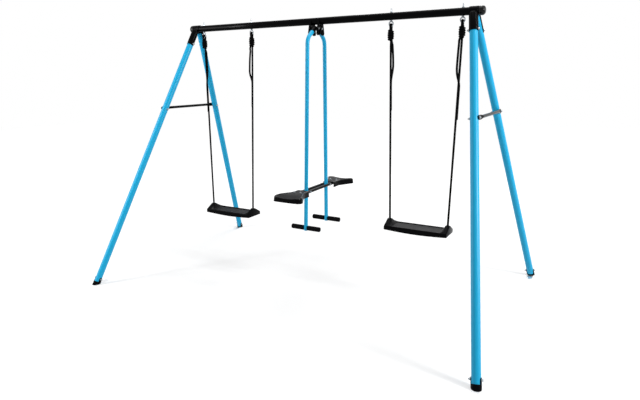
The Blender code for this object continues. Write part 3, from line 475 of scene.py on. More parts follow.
def sweep(path: Sequence[Vector], radius: Callable[[float, float], float], sides: int,
          cyclic: bool = False) -> Shape:
    """Run a round section along a path, with a UV map: U round it, V along it in metres.

    Args:
        path: the points of the axis.
        radius: radius from the share round the section and the length along the path.
        sides: number of sides.
        cyclic: whether the path closes on itself.

    Returns:
        The tube, with its ends closed unless it is cyclic.
    """
    bm = bmesh.new()
    uv = bm.loops.layers.uv.new("UVMap")
    count = len(path)
    tangents = []
    for i in range(count):
        before = path[i - 1] if i or cyclic else path[0]
        after = path[(i + 1) % count] if cyclic or i < count - 1 else path[-1]
        tangents.append((after - before).normalized())
    side = tangents[0].orthogonal().normalized()
    rings, runs, run = [], [], 0.0
    for i, spot in enumerate(path):
        if i:
            run += (spot - path[i - 1]).length
            side = tangents[i - 1].rotation_difference(tangents[i]) @ side
        side = (side - tangents[i] * side.dot(tangents[i])).normalized()
        across = tangents[i].cross(side)
        ring = []
        for k in range(sides):
            angle = 2 * math.pi * k / sides
            size = radius(k / sides, run)
            ring.append(bm.verts.new(spot + (side * math.cos(angle) + across * math.sin(angle)) * size))
        rings.append(ring)
        runs.append(run)
    for i in range(count if cyclic else count - 1):
        j = (i + 1) % count
        high = runs[j] if j else run + (path[0] - path[-1]).length
        for k in range(sides):
            m = (k + 1) % sides
            face = bm.faces.new((rings[i][k], rings[i][m], rings[j][m], rings[j][k]))
            corners = ((k, runs[i]), (k + 1, runs[i]), (k + 1, high), (k, high))
            for loop, (step, length) in zip(face.loops, corners):
                loop[uv].uv = (step / sides, length)
    if not cyclic:
        bm.faces.new(list(reversed(rings[0])))
        bm.faces.new(rings[-1])
    bmesh.ops.recalc_face_normals(bm, faces=bm.faces)
    return bm


def to_mesh(bm: Shape, name: str = "blank") -> bpy.types.Mesh:
    """Turn a shape into a mesh.

    Args:
        bm: the shape, which is given up.
        name: the mesh's name.

    Returns:
        The mesh.
    """
    mesh = bpy.data.meshes.new(name)
    bm.to_mesh(mesh)
    bm.free()
    return mesh


def joined(*meshes: bpy.types.Mesh) -> Shape:
    """Collect the contents of meshes in one shape.

    Args:
        meshes: the meshes, which are given up.

    Returns:
        One shape.
    """
    whole = bmesh.new()
    for mesh in meshes:
        whole.from_mesh(mesh)
        bpy.data.meshes.remove(mesh)
    return whole


def hold(mesh: bpy.types.Mesh) -> bpy.types.Object:
    """Put a mesh into a temporary object.

    Args:
        mesh: the mesh.

    Returns:
        The linked object.
    """
    holder = bpy.data.objects.new("blank", mesh)
    bpy.context.scene.collection.objects.link(holder)
    return holder


def modified(mesh: bpy.types.Mesh, kind: str, values: dict[str, Any] | None = None,
             **settings: Any) -> bpy.types.Mesh:
    """Run a modifier on a mesh.

    Args:
        mesh: the mesh.
        kind: the modifier's type.
        values: its inputs, if it runs a node tree.
        settings: its properties.

    Returns:
        The new mesh.
    """
    holder = hold(mesh)
    step = holder.modifiers.new("step", kind)
    for name, value in settings.items():
        setattr(step, name, value)
    for name, value in (values or {}).items():
        step[name] = value
    made = bpy.data.meshes.new_from_object(holder.evaluated_get(bpy.context.evaluated_depsgraph_get()))
    bpy.data.objects.remove(holder, do_unlink=True)
    return made


def carve(base: Shape, tool: Shape, how: Carving = Carving.CUT) -> Shape:
    """Cut one shape with another, or join them.

    Args:
        base: the shape that is kept.
        tool: the shape that works on it.
        how: whether it cuts or joins.

    Returns:
        The result.
    """
    cutter = hold(to_mesh(tool))
    mesh = modified(to_mesh(base), "BOOLEAN", operation=how.value, solver="EXACT", object=cutter)
    bpy.data.objects.remove(cutter, do_unlink=True)
    return joined(mesh)


def moved(bm: Shape, matrix: Matrix) -> Shape:
    """Put a shape in its place and return it."""
    bm.transform(matrix)
    return bm


def bored(bm: Shape, radius: float, start: float, end: float, at: Matrix) -> Shape:
    """Cut a round hole along the Z of a frame."""
    return carve(bm, moved(rod(radius, start, end, 56), at @ Matrix.Rotation(BORE_TURN, 4, "Z")))


def ease_edges(bm: Shape, width: float, segments: int = 2, angle: float = 0.6) -> Shape:
    """Round the sharp edges of a shape.

    Args:
        bm: the shape.
        width: width of the rounding.
        segments: steps across it.
        angle: smallest turn, in radians, that counts as sharp.

    Returns:
        The same shape.
    """
    bmesh.ops.remove_doubles(bm, verts=bm.verts, dist=2 * MERGE_GAP)
    bmesh.ops.dissolve_limit(bm, angle_limit=FLAT_ANGLE, verts=bm.verts, edges=bm.edges)
    sharp = [e for e in bm.edges if len(e.link_faces) == 2 and e.calc_face_angle(0.0) > angle]
    bmesh.ops.bevel(bm, geom=sharp, offset=width, segments=segments, profile=0.5,
                    affect="EDGES", clamp_overlap=True)
    bmesh.ops.recalc_face_normals(bm, faces=bm.faces)
    return bm


class Fitter:
    """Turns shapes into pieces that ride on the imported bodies."""

    def __init__(self) -> None:
        """Build every material once."""
        self.materials = {coat: coat.value.material() for coat in Coat}
        self.count = 0

    def piece(self, name: str, bm: Shape, coat: Coat, body: Body, *nodes: str, at: Matrix | None = None,
              sharp: float = 38.0) -> bpy.types.Object:
        """Make a piece from a shape.

        Args:
            name: the piece's name.
            bm: its shape.
            coat: its finish.
            body: the body it rides on.
            nodes: the CAD nodes it stands for.
            at: where the shape goes, if it isn't in its place.
            sharp: edges that turn more than this many degrees stay sharp.

        Returns:
            The piece.
        """
        if at is not None:
            bm.transform(at)
        mesh = to_mesh(bm, name)
        mesh.shade_smooth()
        mesh.set_sharp_from_angle(angle=math.radians(sharp))
        mesh.materials.append(self.materials[coat])
        return self.dress(name, mesh, coat, body, *nodes)

    def dress(self, name: str, mesh: bpy.types.Mesh, coat: Coat, body: Body, *nodes: str) -> bpy.types.Object:
        """Make a piece from a mesh that has its material.

        Args:
            name: the piece's name.
            mesh: its mesh, in its place.
            coat: its finish.
            body: the body it rides on.
            nodes: the CAD nodes it stands for.

        Returns:
            The piece.
        """
        item = bpy.data.objects.new(name, mesh)
        bpy.context.scene.collection.objects.link(item)
        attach(item, body.value)
        if nodes:
            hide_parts(*nodes)
        self.count += 1
        LOG.info("%s on %s, %d faces", name, body.value, len(mesh.polygons))
        return item


@dataclass
class Assembly:
    """A sub-assembly of the set, with the fitter that makes its pieces."""

    fit: Fitter

    def build(self) -> None:
        """Make the sub-assembly's pieces."""
        raise NotImplementedError


@dataclass(frozen=True)
class Stance:
    """Where the legs and the beam stand, shared by the frame's assemblies."""

    beam_height: float = 1.900
    beam_radius: float = 0.024
    leg_radius: float = 0.024
    top_x: float = 1.072
    top_y: float = 0.017
    foot_x: float = 1.399
    foot_y: float = 0.910
    fit_gap: float = 0.0004

    @property
    def beam_bore(self) -> float:
        """Return the radius of a hole that the beam fits in."""
        return self.beam_radius + self.fit_gap

    @property
    def leg_bore(self) -> float:
        """Return the radius of a hole that a leg fits in."""
        return self.leg_radius + self.fit_gap

    @property
    def lean(self) -> float:
        """Return how far a pair of legs leans outwards."""
        return math.atan2(self.foot_x - self.top_x, self.beam_height)

    @property
    def plane_height(self) -> float:
        """Return the height of the beam in the plane of a pair of legs."""
        return math.hypot(self.foot_x - self.top_x, self.beam_height)

    @property
    def spread(self) -> float:
        """Return how far a leg spreads in its plane."""
        return math.atan2(self.foot_y - self.top_y, self.plane_height)

    @property
    def run(self) -> float:
        """Return the length of a leg's axis from the beam's level to the ground."""
        return self.plane_height / math.cos(self.spread)

    @property
    def slope(self) -> float:
        """Return the height gained per length of leg."""
        return self.beam_height / self.run

    def side_frame(self, side: int) -> Matrix:
        """Return the frame of a pair of legs: X out of their plane, Z up along it."""
        place = shift(side * self.top_x, 0, self.beam_height)
        return place @ facing(side) @ Matrix.Rotation(-self.lean, 4, "Y")

    def leg_frame(self, side: int, end: int) -> Matrix:
        """Return the frame of one leg: Z up along its axis, zero level with the beam's axis."""
        return self.side_frame(side) @ shift(0, end * self.top_y) @ Matrix.Rotation(end * self.spread, 4, "X")

    def run_at(self, height: float) -> float:
        """Return how far down a leg's axis a height lies."""
        return (self.beam_height - height) / self.slope

    @staticmethod
    def corners() -> list[tuple[int, int, str]]:
        """Return side, end and name of the four corners."""
        return [(side, end, word + ("_front" if side * end < 0 else "_back"))
                for side, word in SIDES for end in (-1, 1)]


@dataclass
class TopBeam(Assembly):
    """The steel beam and its two domed caps."""

    stance: Stance
    overhang: float = 0.047
    wall: float = 0.002
    cap_wall: float = 0.004
    cap_skirt: float = 0.015
    cap_bead: float = 0.005
    cap_relief: float = 0.0008
    cap_ease: float = 0.001
    cap_dome: float = 0.020
    cap_round: float = 0.019

    def build(self) -> None:
        """Build the beam and its caps."""
        half, height = self.stance.top_x + self.overhang, self.stance.beam_height
        tube = pipe(self.stance.beam_radius, self.wall, -half, half, 64)
        self.fit.piece("beam_tube", tube, Coat.BLACK, Body.FRAME, "top_beam",
                       at=shift(z=height) @ TURN_Z_TO_X)
        for side, word in SIDES:
            self.fit.piece("beam_end_" + word, self.cap(), Coat.GLOSS, Body.FRAME, "beam_cap_" + word,
                           at=shift(side * half, 0, height) @ (facing(side) @ TURN_Z_TO_X))

    def cap(self) -> Shape:
        """Return a cap along Z: a skirt with a bead, and a well rounded end.

        Returns:
            The shape.
        """
        gap, inner = self.stance.fit_gap, self.stance.beam_bore
        outer = inner + self.cap_wall
        low, bead, ease, dome = -self.cap_skirt, self.cap_bead, self.cap_ease, self.cap_dome
        waist, corner = outer - self.cap_relief, self.cap_round
        profile = [(0, gap), (inner, gap), (inner, low), (outer - ease, low), (outer, low + ease),
                   (outer, low + bead - ease), (waist, low + bead), (waist, -2 * ease), (outer, -ease)]
        profile += arc((outer - corner, dome - corner), corner, 0.0, math.pi / 2, 14)
        return lathe(profile + [(0, dome)], 56)


@dataclass
class CornerBrackets(Assembly):
    """Moulded corners: half pipes on the legs under a saddle on the beam."""

    stance: Stance
    wall: float = 0.003
    length: float = 0.138
    wrap: float = 0.009
    saddle_wall: float = 0.0042
    saddle_depth: float = 0.008
    end_gap: float = 0.008
    dome: float = 0.55
    dome_rise: float = 1.15
    dome_top: float = 1.16
    edge: float = 0.0008
    edge_angle: float = 0.7

    @property
    def radius(self) -> float:
        """Return the outer radius of an arm."""
        return self.stance.leg_bore + self.wall

    @property
    def top_run(self) -> float:
        """Return where a leg's tube starts below the beam's axis."""
        return self.stance.beam_radius + self.end_gap - self.stance.top_y * math.sin(self.stance.spread)

    def build(self) -> None:
        """Build both corners."""
        for side, word in SIDES:
            self.fit.piece("corner_" + word, self.corner(side), Coat.PLASTIC, Body.FRAME,
                           "corner_bracket_" + word, sharp=30.0)

    def corner(self, side: int) -> Shape:
        """Return one corner, in its place.

        Args:
            side: -1 for the left pair of legs, 1 for the right one.

        Returns:
            The shape.
        """
        stance, radius = self.stance, self.radius
        middle = shift(side * stance.top_x, 0, stance.beam_height)
        reach = 2 * radius
        saddle = pipe(stance.beam_bore + self.saddle_wall, self.saddle_wall, -radius, radius)
        under = block((-reach, -reach, -reach), (reach, reach, -self.saddle_depth))
        shape = carve(moved(saddle, middle @ TURN_Z_TO_X), moved(under, middle))
        legs = [(end, stance.leg_frame(side, end)) for end in (-1, 1)]
        for end, leg in legs:
            inner = sorted((-end * self.wrap, -end * reach))
            open_side = block((-reach, inner[0], -reach - self.length), (reach, inner[1], reach))
            shape = carve(shape, carve(moved(self.arm(), leg), moved(open_side, leg)), Carving.JOIN)
        for _, leg in legs:
            shape = bored(shape, stance.leg_bore, -self.length - reach, -self.top_run + stance.fit_gap, leg)
        shape = bored(shape, stance.beam_bore, -reach, reach, middle @ TURN_Z_TO_X)
        return ease_edges(shape, self.edge, 2, self.edge_angle)

    def arm(self) -> Shape:
        """Return an arm along a leg's axis, with a domed top.

        Returns:
            The shape.
        """
        radius, start = self.radius, -self.top_run
        dome = radius * self.dome
        profile = [(0, -self.length), (radius, -self.length), (radius, start)]
        for i in range(1, 6):
            profile.append((radius * math.cos(i / 4), start + dome * self.dome_rise * math.sin(i / 4)))
        return lathe(profile + [(0, start + dome * self.dome_top)], 56)


@dataclass
class LegPairs(Assembly):
    """The four blue legs and the two black cross bars."""

    stance: Stance
    corners: CornerBrackets
    wall: float = 0.0018
    end_height: float = 0.0196
    bar_height: float = 1.2885
    bar_radius: float = 0.010
    bar_flat: float = 0.0025
    bar_wide: float = 0.014
    bar_end: float = 0.016
    bar_tip: float = 0.05
    bar_flat_run: float = 0.034
    bar_taper: float = 0.050

    def build(self) -> None:
        """Build legs and cross bars."""
        low = -self.stance.run_at(self.end_height)
        for side, end, name in self.stance.corners():
            tube = pipe(self.stance.leg_radius, self.wall, low, -self.corners.top_run, 64)
            self.fit.piece("leg_tube_" + name, tube, Coat.BLUE, Body.FRAME, "leg_" + name,
                           at=self.stance.leg_frame(side, end))
        offset = shift(self.stance.leg_bore + self.bar_flat, 0, -self.bar_drop)
        for side, word in SIDES:
            self.fit.piece("tie_bar_" + word, self.bar(), Coat.BLACK, Body.FRAME, "cross_bar_" + word,
                           at=self.stance.side_frame(side) @ offset)

    @property
    def bar_drop(self) -> float:
        """Return how far the cross bar lies below the beam, in the plane of the legs."""
        return (self.stance.beam_height - self.bar_height) / math.cos(self.stance.lean)

    def bar(self) -> Shape:
        """Return a round bar along Y whose ends are pressed flat and rounded.

        Returns:
            The shape.
        """
        reach = self.stance.top_y + math.tan(self.stance.spread) * self.bar_drop
        flat_end = reach - self.bar_flat_run
        stations = []
        for i in range(9):
            angle = 0.5 * math.pi * i / 8
            stations.append((reach + self.bar_end * math.cos(angle), 0.0, max(self.bar_tip, math.sin(angle))))
        stations.append((flat_end, 0.0, 1.0))
        for i in range(1, 11):
            stations.append((flat_end - self.bar_taper * i / 10, smoothstep(i / 10), 1.0))
        rows = [self.section(-y, blend, wide) for y, blend, wide in stations]
        return loft(rows + [self.section(*station) for station in reversed(stations)])

    def section(self, y: float, blend: float, wide: float) -> list[Point3]:
        """Return an oval section of the cross bar.

        Args:
            y: its place along the bar.
            blend: 0 where the bar is flat, 1 where it is round.
            wide: share of the full width, less than 1 at the rounded tip.

        Returns:
            The points round the section.
        """
        thick = self.bar_flat + (self.bar_radius - self.bar_flat) * blend
        width = (self.bar_wide + (self.bar_radius - self.bar_wide) * blend) * wide
        power = 0.5 + 0.5 * blend
        points = []
        for cos, sin in arc((0, 0), 1.0, 0, 2 * math.pi, 32)[:-1]:
            points.append((thick * math.copysign(abs(cos) ** power, cos), y,
                           width * math.copysign(abs(sin) ** power, sin)))
        return points


@dataclass
class Feet(Assembly):
    """Moulded shoes on the legs and flat ground plates below them."""

    stance: Stance
    plate_thickness: float = 0.004
    plate_width: float = 0.040
    plate_outer: float = 0.034
    plate_inner: float = 0.112
    plate_corner: float = 0.006
    wall: float = 0.003
    sole: float = 0.004
    rise: float = 0.004
    ear_width: float = 0.024
    bolt_height: float = 0.042
    edge: float = 0.0009
    plate_edge_angle: float = 0.9

    @property
    def radius(self) -> float:
        """Return the outer radius of a shoe."""
        return self.stance.leg_bore + self.wall

    @property
    def end_run(self) -> float:
        """Return where the legs' tubes end.

        Returns:
            The length down a leg's axis.
        """
        tilt = math.acos(self.stance.slope)
        floor = self.plate_thickness + self.sole + 2 * self.stance.fit_gap
        return self.stance.run_at(floor + self.stance.leg_radius * math.sin(tilt))

    def build(self) -> None:
        """Build shoes and plates."""
        for side, end, name in self.stance.corners():
            foot = shift(side * self.stance.foot_x, side * end * self.stance.foot_y)
            leg = self.stance.leg_frame(side, end)
            self.fit.piece("shoe_" + name, self.shoe(leg, foot), Coat.PLASTIC, Body.FRAME,
                           "foot_shoe_" + name, sharp=30.0)
            self.fit.piece("foot_plate_" + name, self.plate(), Coat.GALVANISED, Body.FRAME,
                           "ground_plate_" + name, at=foot @ facing(-side * end))

    def shoe(self, leg: Matrix, foot: Matrix) -> Shape:
        """Return one shoe: a cup with a flat sole and two ears for its bolt.

        Args:
            leg: the leg's frame.
            foot: the place on the ground.

        Returns:
            The shape, in its place.
        """
        top = -self.end_run + self.rise
        ear_top = -self.stance.run_at(self.bolt_height)
        ear, reach = self.ear_width / 2, 4 * self.radius
        outline = arc((ear_top, 0), ear, math.pi / 2, -math.pi / 2, 16)
        outline += [(top - self.radius, -ear), (top - self.radius, ear)]
        above = block((-reach, -reach, top), (reach, reach, ear_top + reach))
        above = carve(above, moved(prism(outline, -2 * reach, 2 * reach), TURN_PLAN_TO_LEG))
        blank = rod(self.radius, -self.stance.run - reach, ear_top + 2 * ear, 56)
        ground = self.plate_thickness + self.stance.fit_gap
        below = block((-reach, -reach, -2 * reach), (reach, reach, ground))
        shape = carve(moved(carve(blank, above), leg), moved(below, foot))
        shape = bored(shape, self.stance.leg_bore, -self.end_run - self.stance.fit_gap, ear_top + reach, leg)
        return ease_edges(shape, self.edge)

    def plate(self) -> Shape:
        """Return a ground plate with rounded edges, its inner end round.

        Returns:
            The shape.
        """
        half, corner = self.plate_width / 2, self.plate_corner
        low = -self.plate_outer + corner
        outline = arc((half - corner, low), corner, -math.pi / 2, 0, 5)
        outline += arc((0, self.plate_inner - half), half, 0, math.pi, 28)
        outline += arc((-half + corner, low), corner, math.pi, 1.5 * math.pi, 5)
        return ease_edges(prism(outline, 0, self.plate_thickness), self.edge, 2, self.plate_edge_angle)


@dataclass
class EyeBolts(Assembly):
    """Forged eyes under the beam on threaded shanks through it."""

    stance: Stance
    wire: float = 0.004
    inner_width: float = 0.019
    inner_height: float = 0.021
    collar: float = 0.009
    collar_height: float = 0.004
    collar_neck: float = 0.8
    collar_round: float = 0.6
    collar_ease: float = 0.0004
    stub: float = 0.025
    stub_ease: float = 0.0012
    swing_x: float = 0.779
    spacing: float = 0.456

    @property
    def places(self) -> dict[str, float]:
        """Return each eye bolt's place along the beam.

        Returns:
            The places by name.
        """
        half = self.spacing / 2
        return {"left_outer": -self.swing_x - half, "left_inner": -self.swing_x + half,
                "right_inner": self.swing_x - half, "right_outer": self.swing_x + half}

    @property
    def seat(self) -> float:
        """Return the height of the collar's upper face."""
        return self.stance.beam_height - self.stance.beam_radius - self.stance.fit_gap

    @property
    def ring_radius(self) -> float:
        """Return the radius of the eye's centre line."""
        return self.inner_width / 2 + self.wire

    @property
    def axis_height(self) -> float:
        """Return the height of the eye's lowest wire, which the rope hangs on."""
        straight = self.inner_height - self.inner_width
        return self.seat - self.collar_height - self.wire - straight - 2 * self.ring_radius

    def build(self) -> None:
        """Build the four eye bolts."""
        wire, collar, seat, ease = self.wire, self.collar, self.seat, self.collar_ease
        low = self.axis_height + self.ring_radius
        high = low + self.inner_height - self.inner_width
        oval = arc((0, low), self.ring_radius, math.pi, 2 * math.pi, 22)
        oval += arc((0, high), self.ring_radius, 0, math.pi, 22)
        tip = self.stance.beam_height + self.stance.beam_radius + self.stub
        ring_top = seat - self.collar_height - wire
        profile = [(0, ring_top), (wire, ring_top),
                   (collar * self.collar_neck, seat - self.collar_height),
                   (collar, seat - self.collar_height * self.collar_round),
                   (collar, seat - ease), (collar - ease, seat),
                   (wire, seat), (wire, tip - self.stub_ease), (wire - self.stub_ease, tip), (0, tip)]
        for word, x in self.places.items():
            ring = sweep([Vector((x + px, 0, pz)) for px, pz in oval], lambda share, run: wire, 20, True)
            shank = moved(lathe(profile, 32), shift(x))
            self.fit.piece("eye_" + word, joined(to_mesh(ring), to_mesh(shank)), Coat.ZINC, Body.FRAME,
                           "eye_bolt_" + word)


@dataclass
class Rope(Assembly):
    """One rope: taut from the eye to the seat, with a loop, a knot and a loose tail.

    eye_x and seat_x are its places along the beam, seat_top is the height of the seat's ridge
    and tail_end that of the tail's cut end. The tail falls to the side tail_to, and stands off
    by bow below the knot.
    """

    eyes: EyeBolts
    body: Body
    name: str
    eye_x: float
    seat_x: float
    seat_top: float
    tail_end: float
    tail_to: int
    bow: float
    radius: float = 0.007
    loop_gap: float = 0.0012
    loop_close: float = 0.45
    strand: float = 0.0075
    strand_low: float = 0.6
    knot_drop: float = 0.056
    knot_height: float = 0.080
    knot_radius: float = 0.0145
    knot_turns: int = 5
    knot_steps: int = 20
    knot_bulge: float = 0.8
    knot_tuck: float = 0.45
    knot_tuck_from: float = 0.44
    knot_inside: float = 0.6
    knot_below: float = 0.8
    stop_drop: float = 0.034
    stop_size: float = 0.0018
    stop_tall: float = 2.2
    stop_strand: float = 0.0040
    stop_steps: int = 72
    tail_side: float = 0.0154
    tail_close: float = 0.42
    tail_turn: float = -1.05
    tail_start: float = 0.35
    tail_flick: float = 0.003
    tail_flick_part: int = 3
    tail_steps: int = 20
    braid_relief: float = 0.0004
    braid_level: float = 0.7
    diamonds: int = 6
    pitch: float = 0.009
    sides: int = 24
    spacing: float = 0.0022

    @property
    def knot_centre(self) -> float:
        """Return the height of the knot's middle."""
        return self.eyes.axis_height - self.knot_drop

    @property
    def knot_end(self) -> float:
        """Return the height below the knot where both strands are free."""
        return self.knot_centre - self.knot_height * self.knot_below

    def surface(self, share: float, run: float) -> float:
        """Return the rope's radius with the braid's relief.

        Args:
            share: share round the rope.
            run: length along it.

        Returns:
            The radius at that point.
        """
        around, along = math.pi * self.diamonds * share, math.pi * run / self.pitch
        weave = abs(math.sin(around + along) * math.sin(around - along))
        return self.radius - self.braid_relief * (self.braid_level - weave)

    def cord(self, kind: str, path: Sequence[Vector], *nodes: str) -> bpy.types.Object:
        """Make a braided piece along a path."""
        tube = sweep(path, self.surface, self.sides)
        return self.fit.piece(kind + self.name, tube, Coat.ROPE, self.body, *nodes)

    def build(self) -> None:
        """Build the rope with its knots and its loose tail."""
        path = self.main_path()
        main = self.cord("rope_run_", path, "rope_" + self.name)
        knot = self.cord("rope_knot_", self.knot_path())
        stop = self.fit.piece("rope_stop_" + self.name, self.stop(), Coat.ROPE, self.body)
        path = self.tail_path()
        tail = self.cord("rope_tail_", path)

    def loop(self, sign: int) -> list[Point3]:
        """Return half the loop over the eye's wire, from its top down to the knot.

        Args:
            sign: 1 for the strand at the back, -1 for the one in front.

        Returns:
            The points.
        """
        axis = self.eyes.axis_height
        size = self.eyes.wire + self.radius + self.loop_gap
        points = []
        for i in range(7):
            angle = 0.5 * math.pi * i / 6
            points.append((self.eye_x, sign * size * math.sin(angle), axis + size * math.cos(angle)))
        points.append((self.eye_x, sign * (size + self.strand) / 2, axis - self.knot_drop * self.loop_close))
        points.append((self.eye_x, sign * self.strand, self.knot_centre))
        return points

    def main_path(self) -> list[Vector]:
        """Return the taut strand's axis: the loop, then straight runs to the seat and to the stop knot.

        Returns:
            Evenly spaced points.
        """
        path = smooth_path(self.loop(1), self.spacing)
        corners = [Vector((self.eye_x, self.strand * self.strand_low, self.knot_end)),
                   Vector((self.seat_x, 0, self.seat_top)),
                   Vector((self.seat_x, 0, self.seat_top - self.stop_drop))]
        for a, b in zip(corners, corners[1:]):
            count = max(1, round((b - a).length / self.spacing))
            path += [a.lerp(b, (i + 1) / count) for i in range(count)]
        return path

    def tail_path(self) -> list[Vector]:
        """Return the loose tail's axis, which winds round the taut strand as it falls.

        Returns:
            Evenly spaced points.
        """
        top, eye_x, side = self.knot_end, self.eye_x, self.tail_to
        lean = (self.seat_x - eye_x) / (top - self.seat_top)
        lean_y = self.strand * self.strand_low / (top - self.seat_top)
        start = -self.tail_start if side > 0 else self.tail_start - math.pi
        points = self.loop(-1)
        points.append((eye_x + side * self.tail_side * self.knot_below, -self.knot_below * self.strand,
                       self.knot_centre - self.knot_height * self.knot_inside))
        for i in range(self.tail_steps + 1):
            share = 1 - i / self.tail_steps
            height = self.tail_end + (top - self.tail_end) * share
            loose = max(0.0, (share - self.tail_close) / (1 - self.tail_close))
            beside = self.tail_side + self.bow * math.sin(math.pi * loose)
            beside += self.tail_flick * max(0.0, 1 - self.tail_flick_part * share) ** 2
            turn = self.tail_turn + (start - self.tail_turn) * smoothstep(min(1.0, 2 * loose))
            rope_x, rope_y = eye_x + lean * (top - height), lean_y * (height - self.seat_top)
            points.append((rope_x + beside * math.cos(turn), rope_y + beside * math.sin(turn), height))
        return smooth_path(points, self.spacing)

    def knot_path(self) -> list[Vector]:
        """Return the axis of the knot's wraps round both strands.

        Returns:
            Evenly spaced points.
        """
        count = self.knot_turns * self.knot_steps
        points = []
        for i in range(count + 1):
            angle = 2 * math.pi * self.knot_turns * i / count
            off = i / count - 0.5
            tuck = max(0.0, abs(off) - self.knot_tuck_from) / (0.5 - self.knot_tuck_from)
            size = self.knot_radius * (1.0 - self.knot_bulge * off ** 2 - self.knot_tuck * tuck)
            rise = off * (self.knot_height - 2 * self.radius)
            points.append((self.eye_x + size * math.cos(angle), size * math.sin(angle),
                           self.knot_centre + rise))
        return smooth_path(points, self.spacing)

    def stop(self) -> Shape:
        """Return the stop knot under the seat: a rope drawn tight into a trefoil.

        Returns:
            The shape.
        """
        size, height = self.stop_size, self.seat_top - self.stop_drop
        points = []
        for i in range(self.stop_steps):
            angle = 2 * math.pi * i / self.stop_steps
            points.append(Vector((self.seat_x + size * (math.sin(angle) + 2 * math.sin(2 * angle)),
                                  size * (math.cos(angle) - 2 * math.cos(2 * angle)),
                                  height - self.stop_tall * size * math.sin(3 * angle))))
        return sweep(points, lambda share, run: self.stop_strand, 16, True)


class NodeMaker:
    """Builds one Geometry Nodes tree: a geometry and named values go in, a dressed mesh comes out."""

    KINDS = {int: "NodeSocketInt", float: "NodeSocketFloat", bpy.types.Material: "NodeSocketMaterial"}

    def __init__(self, name: str, values: dict[str, Any]) -> None:
        """Start a tree.

        Args:
            name: the tree's name.
            values: name and value of each input beside the geometry, with the Material among them.
        """
        self.tree = bpy.data.node_groups.new(name, "GeometryNodeTree")
        sockets = self.tree.interface
        for way in ("INPUT", "OUTPUT"):
            sockets.new_socket(name="Geometry", in_out=way, socket_type="NodeSocketGeometry")
        self.values = {}
        for label, value in values.items():
            made = sockets.new_socket(name=label, in_out="INPUT", socket_type=self.KINDS[type(value)])
            self.values[made.identifier] = value
        self.given = add_node(self.tree, "NodeGroupInput").outputs

    def add(self, kind: str, inputs: dict[Any, Any], **settings: Any) -> Socket:
        """Add a node to the tree and return its first output."""
        return add_node(self.tree, kind, inputs, **settings).outputs[0]

    def raised(self, geometry: Socket, height: Any) -> Socket:
        """Return a geometry lifted along Z."""
        lift = self.add("ShaderNodeCombineXYZ", {"Z": height})
        return self.add("GeometryNodeTransform", {"Geometry": geometry, "Translation": lift})

    def run(self, base: Shape, points: Socket, parts: Sequence[Socket], **turn: Socket) -> bpy.types.Mesh:
        """Set the parts on points, end the tree with their material and run it.

        Args:
            base: the geometry that goes in.
            points: where the parts are repeated.
            parts: what is repeated.
            turn: how the parts are turned there, if they are.

        Returns:
            A plain mesh.
        """
        whole = add_node(self.tree, "GeometryNodeJoinGeometry")
        for part in reversed(parts):
            self.tree.links.new(part, whole.inputs[0])
        placed = self.add("GeometryNodeInstanceOnPoints",
                          {"Points": points, "Instance": whole.outputs[0], **turn})
        plain = self.add("GeometryNodeRealizeInstances", {"Geometry": placed})
        dressed = self.add("GeometryNodeSetMaterial", {"Geometry": plain, "Material": self.given["Material"]})
        add_node(self.tree, "NodeGroupOutput", {0: dressed})
        return modified(to_mesh(base), "NODES", self.values, node_group=self.tree)


